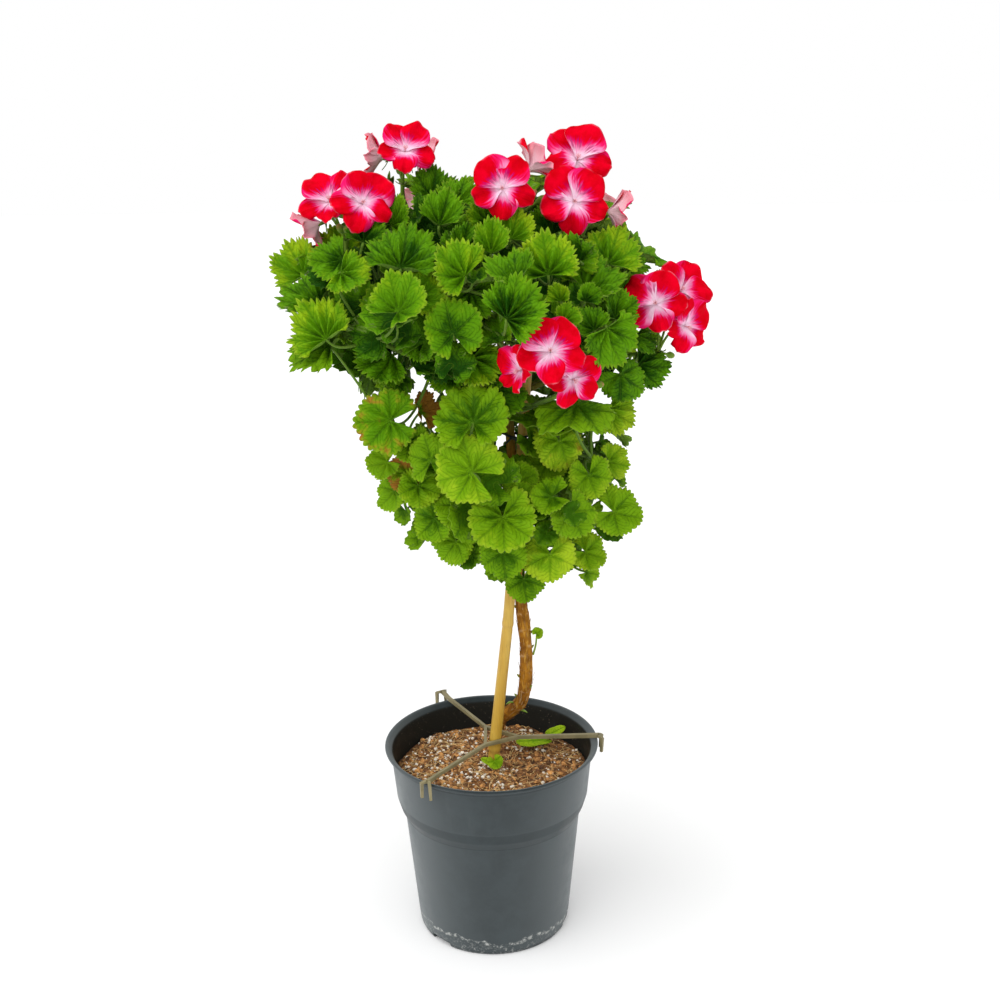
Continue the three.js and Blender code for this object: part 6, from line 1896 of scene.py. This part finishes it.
def extra_leaves(leaf, seat, index):
    """Smaller leaves that may stand behind and beside a leaf, from the same shoot, in the order in
    which they're tried: each is shifted across the blade and back from it, and turned aside."""
    a, b, n = seat["axes"]
    middle = seat["root"] + b * leaf["size"] * LEAF_FORMS[leaf["kind"]]["seat"]
    for k in range(EXTRA_TRIES):
        draw = chance(index * 977 + k * 41 + np.arange(9))
        way, far = tau * draw[0], leaf["size"] * (0.1 + 0.65 * draw[1])
        place = middle + (a * cos(way) + b * sin(way)) * far - n * (7 + 38 * draw[2])
        yield {
            "kind": leaf["kind"], "place": place, "lobes": SMALL_LOBES,
            "face": [leaf["face"][0] + 80 * (draw[4] - 0.5), leaf["face"][1] + 50 * (draw[5] - 0.5)],
            "tip": leaf["tip"] + 120 * (draw[6] - 0.5), "cup": 0.25 + 0.4 * draw[8],
            "phase": tau * draw[3], "size": max(22, leaf["size"] * (0.6 + 0.4 * draw[7])),
        }


def leaves_along(index, name, shoot):
    """Smaller leaves round a shoot's outer half, facing away from the tier's middle, in the order in
    which they're tried: each with the point of the shoot that it grows from."""
    tier = TIERS[0 if name.startswith("upper") else 1]
    line = shoot_line(shoot, 20)
    for k in range(EXTRA_TRIES):
        draw = chance(500000 + index * 9973 + k * 41 + np.arange(9))
        start = line[int(6 + 14.9 * draw[0])]
        out = unit(start - tier["middle"] + 60 * (draw[1:4] - 0.5))
        looks = unit(out + np.array([0, 0, 0.2 + 0.6 * draw[4]]))
        yield start, {
            "kind": tier["kind"], "place": start + out * (14 + 56 * draw[5]), "lobes": SMALL_LOBES,
            "face": face_of(looks), "tip": 180 + 150 * (draw[6] - 0.5), "cup": 0.2 + 0.4 * draw[8],
            "phase": tau * draw[0], "size": 32 + 16 * draw[7],
        }


def in_crown(place):
    """Whether a place lies inside the outline of the upper or the lower tier, an ellipsoid each."""
    return any(np.linalg.norm((place - tier["middle"]) / np.array(tier["reach"], float)) < CROWN_SHARE
               for tier in TIERS)


def small_seat(leaf, start, shoot, room):
    """The seat of a small leaf and its blade, or None where it is cramped, outside the crown, turned
    towards its shoot or too far from it."""
    a, b, n = axes_of(leaf["face"], leaf["tip"])
    root = leaf["place"] - b * leaf["size"] * LEAF_FORMS[leaf["kind"]]["seat"]
    long = np.linalg.norm(root - start)
    if not in_crown(leaf["place"]) or long > EXTRA_PETIOLE or np.dot(start - root, n) > 0.1 * long:
        return None
    seat = {"shoot": shoot, "root": root, "axes": (a, b, n), "start": start,
            "behind": behind_leaf(root, b, n, long)}
    grid = leaf_grid(leaf, seat)[0]
    if room.taken(grid) > CRAMPED:
        return None
    room.fill(grid)
    return seat


def filled_room():
    """The room that stalks, stem, cane, blooms and shoots take, and the air before the blooms."""
    room = Room(ROOM_LOW, ROOM_HIGH, ROOM_CELL)
    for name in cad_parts:
        if name.endswith("_stalks") or name in ("cane", "woody_stem", "cane_tie"):
            room.fill(node_points(name))
    for name, head in HEADS.items():
        for i, bloom in enumerate(head["blooms"]):
            points = node_points(f"flower_head_{name}_bloom_{i + 1}")
            middle = points.mean(0)
            disc = np.concatenate([points * share + middle * (1 - share) for share in (0.2, 0.45, 0.7, 1)])
            looks = axes_of(bloom["face"], bloom["tip"])[2]
            room.fill(disc + looks * (np.arange(0, BLOOM_AIR, 2 * ROOM_CELL)[:, None, None]))
    for shoot in SHOOTS.values():
        room.fill(shoot_line(shoot, SHOOT_STEPS))
    return room


def add_shoot(sheaf, shoot):
    """A shoot's own stalk: brown at its foot, 1.1 - 2.2 t, with a slight ring at each node."""
    t = np.linspace(0, 1, SHOOT_STEPS + 1)
    radii = np.interp(t * 3, range(4), SHOOT_RADII)
    nodes = (np.sin(t * 16) > 0.93) * 0.3
    tint = np.stack([0.5 + 0 * t, np.clip(1.1 - 2.2 * t, 0, 1), 0 * t, 0 * t + 1], -1)
    add_tube(sheaf, shoot_line(shoot, SHOOT_STEPS), radii * 0.95 + nodes, SHOOT_SIDES, tint)


def small_leaves(grown, room):
    """Smaller leaves beside each grown leaf and then round each shoot, where the room is free."""
    extras = []

    def grow(wanted, name, ways):
        """Seats the first leaves that fit, up to the number wanted."""
        for start, extra in ways:
            seat = small_seat(extra, start, name, room)
            if seat:
                extras.append((extra, seat, 1000 + len(extras)))
                wanted -= 1
            if not wanted:
                break

    for leaf, seat, i in grown:
        wanted = EXTRA_AT_BACK if leaf["place"][1] > FRONT_DEPTH else EXTRA_PER_LEAF
        grow(wanted, seat["shoot"], ((seat["start"], extra) for extra in extra_leaves(leaf, seat, i)))
    for i, (name, shoot) in enumerate(SHOOTS.items()):
        ways = leaves_along(i, name, shoot)
        grow(EXTRA_PER_SHOOT, name, (way for way in ways if way[1]["place"][1] > 0))
    return extras


def make_shoots():
    """Each shoot's stalk and leaves, grown where the part has them, and smaller leaves between."""
    corners_of = {name: node_points(f"leafy_shoot_{name}") for name in SHOOTS}
    blades = {name: Sheaf() for name in SHOOTS}
    stalks = {name: Sheaf() for name in SHOOTS}
    room = filled_room()
    for name, shoot in SHOOTS.items():
        add_shoot(stalks[name], shoot)
    leaves = [dict(leaf, place=sight(*leaf["seen"], leaf["depth"]), phase=tau * float(chance(i)))
              for i, leaf in enumerate(FRONT_LEAVES)]
    leaves += [leaf for tier in TIERS for leaf in tier_leaves(tier)]
    grown = [(leaf, find_leaf(leaf, corners_of), i) for i, leaf in enumerate(leaves)]
    grown = [(leaf, seat, i) for leaf, seat, i in grown if seat]
    for leaf, seat, _ in grown:
        room.fill(leaf_grid(leaf, seat)[0])
    extras = small_leaves(grown, room)
    for leaf, seat, i in grown:
        add_leaf(blades[seat["shoot"]], leaf, seat, leaf_tint(leaf, i))
        add_petiole(stalks[seat["shoot"]], seat, 0.5)
    for leaf, seat, i in extras:
        light, brown, own = leaf_tint(leaf, i)
        add_leaf(blades[seat["shoot"]], leaf, seat, (light + INNER_LIGHT, brown, own), coarse=True)
        # painted shade: the small leaves' petioles are drawn darker too, as they stand in the crown's shade
        add_petiole(stalks[seat["shoot"]], seat, 0.3, coarse=True)
    for name in SHOOTS:
        upper = name.startswith("upper")
        material, slot = (leaf_material, "upper_leaf") if upper else (lower_material, "lower_leaf")
        if blades[name].count:
            shown(blades[name], f"leaves_{name}", material, slot, f"leafy_shoot_{name}")
        shown(stalks[name], f"shoot_{name}", shoot_material, slot, f"leafy_shoot_{name}")


make_shoots()
for head_name, head in HEADS.items():
    make_head(head_name, head)
